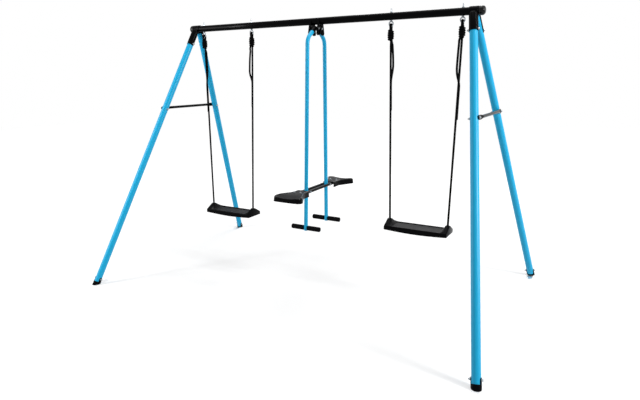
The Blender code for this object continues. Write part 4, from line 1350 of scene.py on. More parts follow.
@dataclass
class Swing(Assembly):
    """One swing: a moulded seat with a gable at each end, hung on two ropes."""

    eyes: EyeBolts
    body: Body
    word: str
    side: int
    seat_top: float
    length: float = 0.429
    depth: float = 0.160
    height: float = 0.062
    rim_drop: float = 0.034
    panel_drop: float = 0.041
    panel_margin: float = 0.001
    panel_level: float = 0.0015
    panel_flat: float = 0.9
    belly: float = 0.009
    lip: float = 0.012
    lip_round: float = 0.4
    panel_mid: float = 0.45
    draft: float = 0.003
    wall: float = 0.004
    edge: float = 0.0028
    edge_angle: float = 0.35
    ridge_width: float = 0.020
    ridge_inset: float = 0.3
    roof_shares: Point3 = (0.3, 0.65, 1.0)
    gable_run: float = 0.048
    ridge_run: float = 0.028
    rope_from_end: float = 0.0145
    rope_gap: float = 0.0012
    rib_pitch: float = 0.032
    rib_thick: float = 0.0022
    rib_clear: float = 0.004
    rib_bite: float = 0.0005
    outer_tail_end: float = 1.252
    inner_tail_end: float = 1.301
    outer_bow: float = 0.002
    inner_bow: float = 0.006

    def build(self) -> None:
        """Build the ropes and the seat."""
        centre = self.side * self.eyes.swing_x
        hole_x = self.length / 2 - self.rope_from_end
        for end in (-1, 1):
            where, tail_end, bow = "_inner", self.inner_tail_end, self.inner_bow
            if end == self.side:
                where, tail_end, bow = "_outer", self.outer_tail_end, self.outer_bow
            Rope(self.fit, self.eyes, self.body, self.word + where, centre + end * self.eyes.spacing / 2,
                 centre + end * hole_x, self.seat_top, tail_end, -end, bow).build()
        place = shift(centre, 0, self.seat_top)
        shell = carve(ease_edges(self.solid(0.0), self.edge, 3, self.edge_angle), self.solid(self.wall))
        for end in (-1, 1):
            hole = rod(Rope.radius + self.rope_gap, -self.rim_drop, PAST, 32)
            shell = carve(shell, moved(hole, shift(end * hole_x)))
        seat = self.fit.piece("seat_shell_" + self.word, shell, Coat.PLASTIC, self.body,
                              "swing_seat_" + self.word, at=place, sharp=32.0)
        self.mark_panel(seat.data, centre)
        ribs = self.ribs()
        ribs.transform(place)
        self.fit.dress("seat_ribs_" + self.word, ribs, Coat.PLASTIC, self.body)

    def mark_panel(self, mesh: bpy.types.Mesh, centre: float) -> None:
        """Give the sitting panel its own grain, and a lighter colour that is painted light.

        Args:
            mesh: the seat's mesh.
            centre: the seat's place along the beam.
        """
        mesh.materials.append(self.fit.materials[Coat.PANEL])
        reach = self.length / 2 - self.gable_run
        wide = self.depth / 2 - self.draft - self.lip - self.panel_margin
        level = self.seat_top - self.panel_drop
        # Faces that face up take the panel's lighter colour, which is painted light on the top
        for face in mesh.polygons:
            spot = face.center
            flat = face.normal.z > self.panel_flat and abs(spot.z - level) < self.panel_level
            if flat and abs(spot.x - centre) < reach and abs(spot.y) < wide:
                face.material_index = 1

    def section(self, x: float, inset: float) -> list[Point3]:
        """Return the seat's section across Y.

        Args:
            x: place along the seat.
            inset: how far it is shrunk; a shrunk one is open below.

        Returns:
            The points round the section.
        """
        half = self.length / 2
        gable = (self.gable_run - inset - half + abs(x)) / (self.gable_run - self.ridge_run)
        gable = min(1.0, max(0.0, gable))
        belly = self.belly * math.cos(0.5 * math.pi * x / half)
        low = -self.height - belly - (PAST if inset else 0.0)
        depth = self.depth / 2 - inset
        shoulder = depth - self.draft
        rim, panel = -self.rim_drop - inset, -self.panel_drop - inset
        ridge = self.ridge_width / 2 - inset * self.ridge_inset
        tray = [(shoulder - self.lip * self.lip_round, rim), (shoulder - self.lip, panel),
                (depth * self.panel_mid, panel), (0, panel)]
        edge = rim - self.draft
        slope = [shoulder + (ridge - shoulder) * share for share in self.roof_shares]
        roof = [(y, edge + (-inset - edge) * (shoulder - y) / (shoulder - ridge)) for y in slope]
        roof.append((0, -inset))
        outline = [(depth, low), (shoulder, edge)]
        for flat, raised in zip(tray, roof):
            outline.append((flat[0] + (raised[0] - flat[0]) * gable, flat[1] + (raised[1] - flat[1]) * gable))
        return [(x, y, z) for y, z in outline] + [(x, -y, z) for y, z in reversed(outline[:-1])]

    def solid(self, inset: float) -> Shape:
        """Return the seat's body, or its hollow if an inset is given.

        Args:
            inset: how far it is shrunk, 0 for the body.

        Returns:
            The shape.
        """
        half = self.length / 2 - inset
        inner = self.length / 2 - self.gable_run + inset
        outer = self.length / 2 - self.ridge_run + inset
        stations = [-half, -outer] + [inner * i / 12 for i in range(-12, 13)] + [outer, half]
        return loft([self.section(x, inset) for x in stations])

    def ribs(self) -> bpy.types.Mesh:
        """Return the ribs across the hollow between the gables, in a row along X.

        Returns:
            One mesh of them all, about their middle.
        """
        floor = -self.height + self.rib_clear
        outline = [(y, max(z, floor)) for _, y, z in self.section(0.0, self.wall - self.rib_bite)]
        rib = moved(prism(outline, -self.rib_thick / 2, self.rib_thick / 2), TURN_PLAN_TO_YZ)
        maker = NodeMaker("seat ribs", {
            "Count": int((self.length - 2 * self.gable_run) / self.rib_pitch),
            "Pitch": self.rib_pitch,
            "Material": self.fit.materials[Coat.PLASTIC],
        })
        given = maker.given
        start = maker.add("ShaderNodeMath", {0: given["Count"], 1: 1.0}, operation="SUBTRACT")
        for factor in (given["Pitch"], -0.5):
            start = maker.add("ShaderNodeMath", {0: start, 1: factor}, operation="MULTIPLY")
        line = maker.add("GeometryNodeMeshLine", {
            "Count": given["Count"],
            "Start Location": maker.add("ShaderNodeCombineXYZ", {"X": start}),
            "Offset": maker.add("ShaderNodeCombineXYZ", {"X": given["Pitch"]}),
        })
        return maker.run(rib, line, [given["Geometry"]])


@dataclass
class Hanger(Assembly):
    """The glider's two pressed plates round the beam."""

    stance: Stance
    gap: float = 0.052
    web: float = 0.004
    flange: float = 0.014
    rim: float = 0.0035
    collar: float = 0.003
    lobe_y: float = 0.030
    lobe_drop: float = 0.080
    lobe_radius: float = 0.016
    pivot_y: float = 0.026
    pivot_below: float = 0.026
    above: float = 0.004
    edge: float = 0.0010

    @property
    def pivot_height(self) -> float:
        """Return the height of the pivots."""
        return self.stance.beam_height - self.stance.beam_radius - self.pivot_below

    def build(self) -> None:
        """Build both plates."""
        for side, word in SIDES:
            place = shift(z=self.stance.beam_height) @ facing(side) @ shift(self.gap / 2) @ TURN_PLAN_TO_YZ
            self.fit.piece("pivot_plate_" + word, self.plate(), Coat.BLACK, Body.FRAME,
                           "hanger_plate_" + word, at=place, sharp=30.0)

    def plate(self) -> Shape:
        """Return one plate: a collar with two lobes, dished inside a rim.

        Returns:
            The shape.
        """
        collar = self.stance.beam_bore + self.collar
        lobes = [(-self.lobe_y, -self.lobe_drop), (self.lobe_y, -self.lobe_drop)]
        outlines = [self.link((0, 0), collar, lobe, self.lobe_radius) for lobe in lobes]
        shape, other = [prism(outline, 0, self.flange) for outline in outlines]
        shape = carve(shape, other, Carving.JOIN)
        for lobe in lobes:
            share = (collar + self.lobe_radius) / self.lobe_drop
            start = (lobe[0] * share, lobe[1] * share)
            start_r = collar + (self.lobe_radius - collar) * share - self.rim
            pocket = prism(self.link(start, start_r, lobe, self.lobe_radius - self.rim), self.web, 2 * PAST)
            shape = carve(shape, pocket)
        shape = bored(shape, self.stance.beam_bore, -PAST, 2 * PAST, Matrix())
        reach = 2 * collar
        shape = carve(shape, block((-reach, self.above, -PAST), (reach, reach, 2 * PAST)))
        return ease_edges(shape, self.edge)

    @staticmethod
    def link(near: Point2, near_radius: float, far: Point2, far_radius: float) -> list[Point2]:
        """Return the outline round two circles joined by their outer tangents.

        Args:
            near: centre of the first circle.
            near_radius: its radius.
            far: centre of the second circle.
            far_radius: its radius.

        Returns:
            The points in order.
        """
        heading = math.atan2(far[1] - near[1], far[0] - near[0])
        tilt = math.acos((near_radius - far_radius) / math.dist(near, far))
        outline = arc(far, far_radius, heading - tilt, heading + tilt, 18)
        return outline + arc(near, near_radius, heading + tilt, heading + 2 * math.pi - tilt, 26)


@dataclass
class GliderArm(Assembly):
    """A swinging arm: a bent tube in a black sleeve at its bearing, a footrest bar and two grips."""

    hanger: Hanger
    body: Body
    word: str
    end: int
    radius: float = 0.014
    wall: float = 0.0018
    knee_y: float = 0.124
    knee_below: float = 0.072
    knee_radius: float = 0.075
    foot_y: float = 0.159
    foot_height: float = 0.432
    past_pivot: float = 0.012
    bearing: float = 0.0105
    bolt_bore: float = 0.0045
    run_gap: float = 0.0008
    sleeve_length: float = 0.041
    sleeve_wall: float = 0.0022
    sleeve_gap: float = 0.0001
    sleeve_ease: float = 0.001
    mouth: float = 0.005
    plug_depth: float = 0.004
    plug_gap: float = 0.0002
    plug_ease: float = 0.001
    plug_dome: float = 0.0016
    footrest_up: float = 0.019
    bar_radius: float = 0.006
    footrest_length: float = 0.231
    grip_radius: float = 0.0175
    grip_round: float = 0.006
    grip_gap: float = 0.0005
    grip_rings: int = 14
    grip_ring_depth: float = 0.0006
    grip_ring: tuple[Point2, ...] = ((0.0, 0.0), (1.0, 0.12), (1.0, 0.22), (0.0, 0.34))
    grip_lead: Point2 = (0.3, 0.4)
    grip_plain: Point2 = (1.5, 1.8)

    @property
    def knee_height(self) -> float:
        """Return the height of the knee's corner."""
        return self.hanger.pivot_height - self.knee_below

    def y_at(self, height: float) -> float:
        """Return how far from the middle the straight part of the tube is at a height."""
        splay = (self.foot_y - self.knee_y) / (self.knee_height - self.foot_height)
        return self.knee_y + splay * (self.knee_height - height)

    def path(self) -> list[Vector]:
        """Return the tube's axis from its foot to past its pivot.

        Returns:
            The points of the axis.
        """
        foot = Vector((self.foot_y, self.foot_height))
        knee = Vector((self.knee_y, self.knee_height))
        pivot = Vector((self.hanger.pivot_y, self.hanger.pivot_height))
        back, ahead = (foot - knee).normalized(), (pivot - knee).normalized()
        half = back.angle(ahead) / 2
        centre = knee + (back + ahead).normalized() * self.knee_radius / math.sin(half)
        first = knee + back * self.knee_radius / math.tan(half) - centre
        turn = math.pi - 2 * half
        side = 1 if first.x * ahead.y - first.y * ahead.x > 0 else -1
        bend = [centre + Matrix.Rotation(side * turn * i / 16, 2) @ first for i in range(17)]
        top = pivot + ahead * self.past_pivot
        return [Vector((0, self.end * p.x, p.y)) for p in [foot] + bend + [top]]

    def build(self) -> None:
        """Build tube, sleeve, plug, bar and grips."""
        path = self.path()
        mouth = Matrix.Translation(path[0]) @ looking((path[0] - path[1]).normalized())
        tube = sweep(path, lambda share, run: self.radius, 48)
        bore = rod(self.radius - self.wall, -self.mouth, 2 * self.mouth, 48)
        self.fit.piece("arm_tube_" + self.word, carve(tube, moved(bore, mouth)), Coat.BLUE, self.body,
                       "glider_tube_" + self.word)
        pivot = shift(0, self.end * self.hanger.pivot_y, self.hanger.pivot_height)
        ahead = looking((path[-2] - path[-1]).normalized())
        half = self.hanger.gap / 2 - self.run_gap
        bearing = pipe(self.bearing, self.bearing - self.bolt_bore, -half, half, 40)
        sleeve = moved(self.sleeve(), pivot @ ahead)
        both = joined(to_mesh(sleeve), to_mesh(moved(bearing, pivot @ TURN_Z_TO_X)))
        self.fit.piece("arm_sleeve_" + self.word, both, Coat.PLASTIC, self.body)
        self.fit.piece("arm_plug_" + self.word, self.plug(), Coat.PLASTIC, self.body, at=mouth)
        height = self.foot_height + self.footrest_up
        rest = shift(0, self.end * self.y_at(height), height) @ TURN_Z_TO_X
        reach = self.footrest_length / 2
        bar = rod(self.bar_radius, self.grip_round - reach, reach - self.grip_round, 32)
        self.fit.piece("rest_bar_" + self.word, bar, Coat.BLACK, self.body, "footrest_bar_" + self.word,
                       at=rest)
        for side, hand in SIDES:
            name = "%s_%s" % (self.word, hand)
            self.fit.piece("rest_grip_" + name, self.grip(reach), Coat.GRIP, self.body,
                           "footrest_grip_" + name, at=rest @ facing(side, "X"))

    def sleeve(self) -> Shape:
        """Return the sleeve along Z, closed past the pivot.

        Returns:
            The shape.
        """
        size, inner, ease = self.radius + self.sleeve_wall, self.radius + self.sleeve_gap, self.sleeve_ease
        past, floor = -self.past_pivot - self.sleeve_wall, self.sleeve_gap - self.past_pivot
        profile = [(0, past), (size - 2 * ease, past), (size, 2 * ease + past),
                   (size, self.sleeve_length - ease), (size - ease, self.sleeve_length),
                   (inner, self.sleeve_length), (inner, floor), (0, floor)]
        return lathe(profile, 48)

    def plug(self) -> Shape:
        """Return the plug in the tube's foot, slightly domed.

        Returns:
            The shape.
        """
        size = self.radius - self.wall - self.plug_gap
        profile = [(0, -self.plug_depth), (size, -self.plug_depth), (size, 0.0),
                   (size - self.plug_ease, self.plug_ease + self.plug_gap), (0, self.plug_dome)]
        return lathe(profile, 40)

    def grip(self, reach: float) -> Shape:
        """Return a grip along Z with fine rings and a rounded end.

        Args:
            reach: how far out it ends.

        Returns:
            The shape.
        """
        inner, bore = self.radius + self.run_gap, self.bar_radius + self.grip_gap
        size, soft = self.grip_radius, self.grip_round
        (lead_in, lead_up), (plain_low, plain_high) = self.grip_lead, self.grip_plain
        profile = [(bore, inner), (size - soft * lead_in, inner), (size, inner + soft * lead_up)]
        start, stop = inner + soft * plain_low, reach - soft * plain_high
        step = (stop - start) / self.grip_rings
        for i in range(self.grip_rings):
            for deep, share in self.grip_ring:
                profile.append((size - self.grip_ring_depth * deep, start + step * i + step * share))
        profile += arc((size - soft, reach - soft), soft, 0, math.pi / 2, 8)
        return lathe(profile + [(bore, reach)], 48, closed=True)


@dataclass
class SeatBeam(Assembly):
    """The glider's rails and its two moulded seats."""

    arm: GliderArm
    rail_height: float = 0.718
    rail_radius: float = 0.010
    rail_wall: float = 0.0016
    plug_gap: float = 0.0002
    plug_inset: float = 0.001
    plug_length: float = 0.011
    half_length: float = 0.350
    inner_y: float = 0.190
    outer_y: float = 0.434
    outer_width: float = 0.246
    inner_width: float = 0.098
    skirt: float = 0.041
    rim: float = 0.008
    roll: float = 0.030
    roll_shape: tuple[Point2, ...] = ((0.0, 0.45), (0.12, 0.14), (0.4, 0.0))
    shell: float = 0.005
    droop: float = 0.013
    neck: float = 0.34
    end_row: float = 0.02
    past_rail: float = 0.02
    closing: float = 0.82
    widest: float = 0.93
    corner: float = 0.040
    neck_rim: float = 0.25
    bolt_from_end: float = 0.085
    rim_slope: float = 0.25
    panel_slope: float = 0.92
    panel_level: float = 0.003

    @property
    def rail_x(self) -> float:
        """Return the rails' distance from the middle."""
        return self.arm.radius + self.arm.run_gap + self.rail_radius

    @property
    def panel(self) -> float:
        """Return the height of the seats' sitting surface."""
        return self.rail_height + self.rail_radius + self.arm.hanger.stance.fit_gap + self.shell

    def build(self) -> None:
        """Build rails and seats."""
        for side, word in SIDES:
            self.fit.piece("rail_" + word, self.rail(), Coat.BLACK, Body.SEAT_BEAM, "seat_rail_" + word,
                           at=shift(side * self.rail_x, 0, self.rail_height) @ TURN_Z_TO_Y)
        for end, word in ENDS:
            body = carve(self.smooth(self.solid(0.0)), self.solid(self.shell))
            seat = self.fit.piece("saddle_" + word, body, Coat.PLASTIC, Body.SEAT_BEAM, "glider_seat_" + word,
                                  at=facing(end), sharp=40.0)
            self.mark_panel(seat.data)

    def rail(self) -> Shape:
        """Return a rail along Z with a plug in each end.

        Returns:
            The shape.
        """
        half, inner = self.half_length, self.rail_radius - self.rail_wall - self.plug_gap
        outer = half - self.plug_inset
        shapes = [pipe(self.rail_radius, self.rail_wall, -half, half, 40),
                  rod(inner, -outer, -outer + self.plug_length, 32),
                  rod(inner, outer - self.plug_length, outer, 32)]
        return joined(*[to_mesh(bm) for bm in shapes])

    def mark_panel(self, mesh: bpy.types.Mesh) -> None:
        """Polish the seat's rolled rim, and give its sitting surface a grain and a lighter colour that is
        painted light.

        Args:
            mesh: the seat's mesh.
        """
        mesh.materials.append(self.fit.materials[Coat.GLOSS])
        mesh.materials.append(self.fit.materials[Coat.PANEL])
        lowest = self.panel - self.droop - self.panel_level
        # Faces that face up take the panel's lighter colour, which is painted light on the top
        for face in mesh.polygons:
            if self.rim_slope < face.normal.z < self.panel_slope:
                face.material_index = 1
            elif face.normal.z >= self.panel_slope and face.center.z > lowest:
                face.material_index = 2

    @staticmethod
    def smooth(bm: Shape) -> Shape:
        """Return a shape rounded by subdivision, its lower edge kept by creases.

        Args:
            bm: the shape, which is given up.

        Returns:
            The rounded shape.
        """
        low = min(v.co.z for v in bm.verts)
        crease = bm.edges.layers.float.new("crease_edge")
        for edge in bm.edges:
            if all(v.co.z < low + 10 * MERGE_GAP for v in edge.verts):
                edge[crease] = 1.0
        return joined(modified(to_mesh(bm), "SUBSURF", levels=2, render_levels=2))

    def section(self, y: float, wide: float, top: float, rise: float, inset: float) -> list[Point3]:
        """Return a seat's section across X.

        Args:
            y: its place along the rails.
            wide: the seat's width there.
            top: height of the sitting surface there.
            rise: share of the full rim there.
            inset: how far it is shrunk; a shrunk one is open below.

        Returns:
            The points round the section.
        """
        half, roll = wide / 2 - inset, self.roll - inset
        low = self.panel - self.skirt - (PAST if inset else 0.0)
        rim = top + self.rim * rise - inset
        outline = [(half, low)]
        outline += [(half - roll * across, rim - roll * down) for across, down in self.roll_shape]
        outline += [(max(half - roll, self.rail_x + self.rail_radius), top - inset), (0, top - inset)]
        return [(x, y, z) for x, z in outline] + [(-x, y, z) for x, z in reversed(outline[:-1])]

    def solid(self, inset: float) -> Shape:
        """Return the back seat's body, or its hollow, open at the inner end.

        Args:
            inset: how far it is shrunk, 0 for the body.

        Returns:
            The shape.
        """
        span = self.outer_y - self.inner_y
        past_rails = (self.half_length - self.inner_y) / (span - self.shell) + self.past_rail
        rows = []
        stations = (0.0, self.end_row, self.neck, 0.5, past_rails, self.closing, self.widest,
                    1 - self.end_row, 1.0)
        for share in stations:
            ease = min(1.0, max(0.0, share - self.neck) / (self.widest - self.neck))
            close = max(0.0, (share - self.closing) / (1 - self.closing))
            wide = self.inner_width + (self.outer_width - self.inner_width) * ease
            wide -= 2 * self.corner * close ** 2
            fall = self.droop * max(0.0, share - past_rails) / (1 - past_rails)
            y = self.inner_y + (span - inset) * share
            if inset and share == 0.0:
                y -= PAST
            rise = self.neck_rim + (1 - self.neck_rim) * ease
            rows.append(self.section(y, wide, self.panel - fall, rise, inset))
        return loft(rows)


@dataclass
class Fasteners(Assembly):
    """Hexagon heads, washers, nuts and threads on every bolt of the frame and of the glider."""

    stance: Stance
    corners: CornerBrackets
    legs: LegPairs
    feet: Feet
    eyes: EyeBolts
    hanger: Hanger
    beam: SeatBeam
    across_corners: float = 0.0150
    height: float = 0.0056
    chamfer: float = 0.2
    chamfer_radius: float = 0.82
    washer_radius: float = 0.0080
    washer_taper: float = 0.97
    washer_height: float = 0.0012
    thread_radius: float = 0.0039
    thread_length: float = 0.0055
    thread_cover: float = 0.8
    core_low: float = 0.88
    core_top: float = 0.80
    crest: float = 0.36
    ridge: float = 0.38
    pitch: float = 0.00125
    bracket_bolt_up: float = 0.013
    eye_nut_room: float = 0.0075

    def build(self) -> None:
        """Build the fasteners of each body."""
        heads, nuts, nodes = self.frame_spots()
        self.heads("frame_bolt_heads", heads, Body.FRAME, *nodes)
        self.nuts("frame_nuts", nuts, Body.FRAME, self.thread_length)
        up, across, beam = Vector((0, 0, 1)), Vector((1, 0, 0)), self.beam
        top = self.stance.beam_height + self.stance.beam_radius
        spots = [(Vector((x, 0, top)), up) for x in self.eyes.places.values()]
        self.nuts("eye_nuts", spots, Body.FRAME, self.eyes.stub - self.eye_nut_room)
        reach, pivot_y = beam.rail_x + beam.rail_radius, beam.arm.y_at(beam.rail_height)
        heads = [(Vector((reach, end * pivot_y, beam.rail_height)), across) for end in (-1, 1)]
        nuts = [(Vector((-reach, end * pivot_y, beam.rail_height)), -across) for end in (-1, 1)]
        self.heads("rail_bolt_heads", heads, Body.SEAT_BEAM, "rail_pivot_bolt_front", "rail_pivot_bolt_back")
        self.nuts("rail_nuts", nuts, Body.SEAT_BEAM, self.thread_length)
        screw_y = beam.inner_y + beam.bolt_from_end
        spots = [(Vector((side * beam.rail_x, end * screw_y, beam.panel)), up)
                 for side in (-1, 1) for end in (-1, 1)]
        self.heads("saddle_screw_heads", spots, Body.SEAT_BEAM)

    def frame_spots(self) -> tuple[list[Spot], list[Spot], list[str]]:
        """Return where the frame's heads and nuts sit and look, and the CAD bolts they stand for.

        Returns:
            The heads, the nuts and the names of the bolts.
        """
        heads, nuts, nodes = [], [], []
        stance, corner, foot, flat = self.stance, self.corners.radius, self.feet.radius, self.legs.bar_flat
        bar = stance.leg_radius + 2 * flat + stance.fit_gap
        bolts = (
            ("bracket_bolt_", -self.corners.length + self.bracket_bolt_up, corner, corner),
            ("cross_bar_bolt_", -stance.run_at(self.legs.bar_height), bar, stance.leg_radius),
            ("foot_bolt_", -stance.run_at(self.feet.bolt_height), foot, foot),
        )
        for side, end, name in stance.corners():
            leg = stance.leg_frame(side, end)
            out = (leg.to_3x3() @ Vector((1, 0, 0))).normalized()
            for word, run, head_at, nut_at in bolts:
                heads.append((leg @ Vector((head_at, 0, run)), out))
                nuts.append((leg @ Vector((-nut_at, 0, run)), -out))
                nodes.append(word + name)
        outside = self.hanger.gap / 2 + self.hanger.web
        for end, word in ENDS:
            for spots, side in ((heads, 1), (nuts, -1)):
                spot = Vector((side * outside, end * self.hanger.pivot_y, self.hanger.pivot_height))
                spots.append((spot, Vector((side, 0, 0))))
            nodes.append("hanger_pivot_bolt_" + word)
        return heads, nuts, nodes

    def heads(self, name: str, spots: Sequence[Spot], body: Body, *nodes: str) -> None:
        """Make a piece of bolt heads."""
        maker = self.maker("hexagon head", self.thread_length)
        self.fit.dress(name, self.mesh(maker, spots, self.hexagon(maker)), Coat.ZINC, body, *nodes)

    def nuts(self, name: str, spots: Sequence[Spot], body: Body, length: float) -> None:
        """Make a piece of nuts, with a length of thread standing out of each.

        Args:
            name: the piece's name.
            spots: where they sit and look.
            body: the body they ride on.
            length: how far the thread stands out.
        """
        maker = self.maker("nut and thread", length)
        parts = self.hexagon(maker) + self.thread(maker)
        self.fit.dress(name, self.mesh(maker, spots, parts), Coat.ZINC, body)

    def maker(self, name: str, length: float) -> NodeMaker:
        """Return a tree with a fastener's sizes as its inputs."""
        return NodeMaker(name, {
            "Corner radius": self.across_corners / 2,
            "Height": self.height,
            "Washer radius": self.washer_radius,
            "Washer height": self.washer_height,
            "Thread radius": self.thread_radius,
            "Thread length": length,
            "Pitch": self.pitch,
            "Material": self.fit.materials[Coat.ZINC],
        })

    @staticmethod
    def mesh(maker: NodeMaker, spots: Sequence[Spot], parts: Sequence[Socket]) -> bpy.types.Mesh:
        """Set parts on points.

        Args:
            maker: the tree.
            spots: the places on the surface and the directions they look.
            parts: what is set there.

        Returns:
            One mesh of them all.
        """
        ways = maker.add("GeometryNodeInputNamedAttribute", {"Name": "way"}, data_type="FLOAT_VECTOR")
        turn = maker.add("FunctionNodeAlignRotationToVector", {"Vector": ways}, axis="Z")
        points = bmesh.new()
        layer = points.verts.layers.float_vector.new("way")
        for place, way in spots:
            points.verts.new(place)[layer] = way
        return maker.run(points, maker.given["Geometry"], parts, Rotation=turn)

    def hexagon(self, maker: NodeMaker) -> list[Socket]:
        """Return washer, hexagon and chamfer standing on zero.

        Args:
            maker: the tree.

        Returns:
            The parts.
        """
        given = maker.given
        washer, thick, corner = given["Washer radius"], given["Washer height"], given["Corner radius"]
        taper, body, cut, cut_radius = [
            maker.add("ShaderNodeMath", {0: whole, 1: share}, operation="MULTIPLY") for whole, share in (
                (washer, self.washer_taper), (given["Height"], 1 - self.chamfer),
                (given["Height"], self.chamfer), (corner, self.chamfer_radius))]
        low, middle, high = [
            maker.add("GeometryNodeMeshCone", {
                "Vertices": sides, "Radius Bottom": bottom, "Radius Top": top, "Depth": depth})
            for sides, bottom, top, depth in (
                (32, washer, taper, thick), (6, corner, corner, body), (6, corner, cut_radius, cut))]
        top = maker.add("ShaderNodeMath", {0: thick, 1: body}, operation="ADD")
        return [low, maker.raised(middle, thick), maker.raised(high, top)]

    def thread(self, maker: NodeMaker) -> list[Socket]:
        """Return the threaded end above the hexagon: a core and a helix round it.

        Args:
            maker: the tree.

        Returns:
            The parts.
        """
        given = maker.given
        size, length, pitch = given["Thread radius"], given["Thread length"], given["Pitch"]
        start = maker.add("ShaderNodeMath", {0: given["Washer height"], 1: given["Height"]}, operation="ADD")
        turns = maker.add("ShaderNodeMath", {0: length, 1: pitch}, operation="DIVIDE")
        low, top, deep, ridge, cover, cover_turns = [
            maker.add("ShaderNodeMath", {0: whole, 1: share}, operation="MULTIPLY") for whole, share in (
                (size, self.core_low), (size, self.core_top), (pitch, self.crest), (pitch, self.ridge),
                (length, self.thread_cover), (turns, self.thread_cover))]
        core = maker.add("GeometryNodeMeshCone", {
            "Vertices": 24, "Radius Bottom": low, "Radius Top": top, "Depth": length})
        crest = maker.add("ShaderNodeMath", {0: size, 1: deep}, operation="SUBTRACT")
        helix = maker.add("GeometryNodeCurveSpiral", {
            "Resolution": 24, "Rotations": cover_turns, "Start Radius": crest, "End Radius": crest,
            "Height": cover})
        profile = maker.add("GeometryNodeCurvePrimitiveCircle", {"Resolution": 6, "Radius": ridge})
        winding = maker.add("GeometryNodeCurveToMesh",
                            {"Curve": helix, "Profile Curve": profile, "Fill Caps": True})
        return [maker.raised(core, start), maker.raised(winding, start)]


@dataclass(frozen=True)
class SoftBox:
    """A rectangular lamp: where it hangs, what it looks at, its size and its power in watts."""

    name: str
    place: Point3
    target: Point3
    size: Point2
    power: float

    def hang(self) -> None:
        """Hang the lamp."""
        data = bpy.data.lights.new(self.name, "AREA")
        data.shape = "RECTANGLE"
        data.size, data.size_y = self.size
        data.energy = self.power
        item = bpy.data.objects.new(self.name, data)
        way = Vector(self.target) - Vector(self.place)
        item.matrix_world = Matrix.Translation(self.place) @ looking(way, "-Z")
        bpy.context.scene.collection.objects.link(item)


LAMPS = (
    SoftBox("right_box", (5.6, -0.5, 3.0), (0.5, -0.1, 1.2), (1.2, 2.0), 215.0),
    SoftBox("right_strip", (4.2, 0.1, 4.5), (1.2, -0.4, 1.2), (0.07, 2.6), 60.0),
    SoftBox("left_box", (-2.7, -2.2, 1.9), (-1.0, -0.1, 0.9), (0.8, 2.4), 52.0),
    SoftBox("left_strip", (-2.5, -2.4, 2.0), (-0.9, -0.1, 1.4), (0.05, 2.2), 14.0),
    SoftBox("back_box", (-0.6, 4.2, 4.0), (0.0, 0.0, 1.0), (2.4, 1.6), 70.0),
    SoftBox("top_box", (0.2, 0.2, 4.6), (0.0, 0.0, 0.0), (3.6, 2.4), 60.0),
)


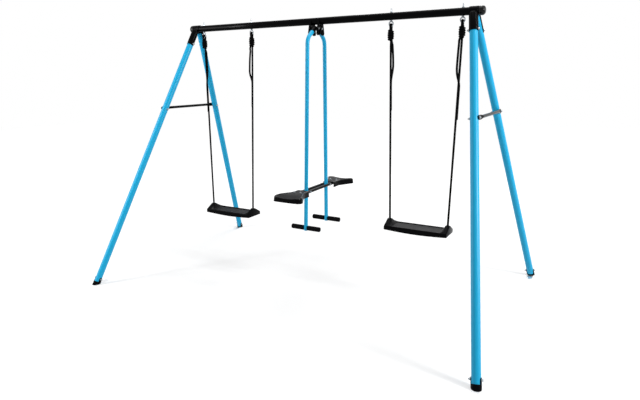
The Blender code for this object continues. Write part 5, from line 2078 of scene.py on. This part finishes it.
@dataclass
class Studio:
    """Floor, light and camera, whose focal length and centre are in pixels of the photograph."""

    image: Point2 = (640.0, 400.0)
    focal: float = 543.218
    centre: Point2 = (293.845, 187.868)
    place: Point3 = (1.88986, -3.45479, 1.53447)
    yaw: float = 0.54292
    pitch: float = 0.20446
    roll: float = -0.0098
    sensor_mm: float = 36.0
    floor_size: float = 14.0
    floor_drop: float = 0.0006
    floor_colour: str = "#c8c8c8"
    floor_rough: float = 0.9
    near: float = 1.2
    far: float = 4.5
    near_glow: float = 0.40
    far_glow: float = 0.82
    world_light: float = 0.22
    white: str = "#ffffff"

    def build(self) -> None:
        """Build the whole studio."""
        self.camera()
        self.floor()
        self.world()
        for lamp in LAMPS:
            lamp.hang()

    def camera(self) -> None:
        """Set the camera where the photograph was taken from."""
        wide, high = self.image
        data = bpy.data.cameras.new("camera")
        data.sensor_fit = "HORIZONTAL"
        data.sensor_width = self.sensor_mm
        data.lens = self.focal * self.sensor_mm / wide
        data.shift_x = (wide / 2 - self.centre[0]) / wide
        data.shift_y = (self.centre[1] - high / 2) / wide
        sin, cos = math.sin(self.yaw), math.cos(self.yaw)
        level = math.cos(self.pitch)
        ahead = Vector((-sin * level, cos * level, -math.sin(self.pitch)))
        right = Vector((cos, sin, 0))
        up = right.cross(ahead)
        tilted = right * math.cos(self.roll) + up * math.sin(self.roll)
        upright = up * math.cos(self.roll) - right * math.sin(self.roll)
        turn = Matrix((tilted, upright, -ahead)).transposed().to_4x4()
        item = bpy.data.objects.new("camera", data)
        item.matrix_world = Matrix.Translation(self.place) @ turn
        bpy.context.scene.collection.objects.link(item)
        bpy.context.scene.camera = item

    def floor(self) -> None:
        """Lay the pale floor, which shows white but glows less near the object, to keep its shadow."""
        bm = bmesh.new()
        bmesh.ops.create_grid(bm, x_segments=2, y_segments=2, size=self.floor_size)
        mesh = to_mesh(bm, "studio_floor")
        mesh.transform(shift(z=-self.floor_drop))
        material, tree, shader = new_material("pale studio paper")
        feed(tree, shader, {"Base Color": linear(self.floor_colour), "Roughness": self.floor_rough})
        place = add_node(tree, "ShaderNodeTexCoord").outputs["Object"]
        reach = add_node(tree, "ShaderNodeVectorMath", {0: place}, operation="LENGTH").outputs["Value"]
        fill = add_node(tree, "ShaderNodeMapRange", {
            "Value": reach, "From Min": self.near, "From Max": self.far,
            "To Min": self.near_glow, "To Max": self.far_glow}).outputs["Result"]
        strength = add_node(tree, "ShaderNodeMath", {0: self.seen(tree), 1: fill}, operation="MULTIPLY")
        glow = add_node(tree, "ShaderNodeEmission",
                        {"Color": linear(self.white), "Strength": strength.outputs[0]})
        both = add_node(tree, "ShaderNodeAddShader", {0: shader.outputs[0], 1: glow.outputs[0]})
        feed(tree, tree.nodes["Material Output"], {"Surface": both.outputs[0]})
        mesh.materials.append(material)
        item = bpy.data.objects.new("studio_floor", mesh)
        bpy.context.scene.collection.objects.link(item)

    def world(self) -> None:
        """Light the room evenly, and show white behind the object."""
        world = bpy.data.worlds.new("studio")
        world.use_nodes = True
        bpy.context.scene.world = world
        tree = world.node_tree
        tree.nodes.clear()
        mix = add_node(tree, "ShaderNodeMixShader", {0: self.seen(tree)})
        for i, strength in ((1, self.world_light), (2, 1.0)):
            light = add_node(tree, "ShaderNodeBackground",
                             {"Color": linear(self.white), "Strength": strength})
            feed(tree, mix, {i: light.outputs[0]})
        add_node(tree, "ShaderNodeOutputWorld", {"Surface": mix.outputs[0]})

    @staticmethod
    def seen(tree: Tree) -> Socket:
        """Return 1 for what the camera sees, also in gloss and glass, and 0 for other light.

        Args:
            tree: the tree that gets the nodes.

        Returns:
            The socket with the value.
        """
        path = add_node(tree, "ShaderNodeLightPath").outputs
        found = path["Is Camera Ray"]
        for name in ("Is Glossy Ray", "Is Transmission Ray"):
            either = {0: found, 1: path[name]}
            found = add_node(tree, "ShaderNodeMath", either, operation="MAXIMUM").outputs[0]
        return found


def main() -> None:
    """Build the swing set in order."""
    logging.basicConfig(level=logging.INFO, format="%(message)s")
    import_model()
    bpy.context.scene.view_settings.view_transform = "Standard"
    Studio().build()
    fit, stance = Fitter(), Stance()
    eyes = EyeBolts(fit, stance)
    corners = CornerBrackets(fit, stance)
    legs = LegPairs(fit, stance, corners)
    feet = Feet(fit, stance)
    hanger = Hanger(fit, stance)
    front = GliderArm(fit, hanger, Body.FRONT_ARM, "front", -1)
    beam = SeatBeam(fit, front)
    assemblies = (
        Swing(fit, eyes, Body.LEFT_SWING, "left", -1, 0.493),
        Swing(fit, eyes, Body.RIGHT_SWING, "right", 1, 0.560),
        TopBeam(fit, stance), corners, legs, feet, eyes, hanger, front,
        GliderArm(fit, hanger, Body.BACK_ARM, "back", 1), beam,
        Fasteners(fit, stance, corners, legs, feet, eyes, hanger, beam),
    )
    for assembly in assemblies:
        assembly.build()
    LOG.info("%d pieces", fit.count)
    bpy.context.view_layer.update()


if __name__ == "__main__":
    main()
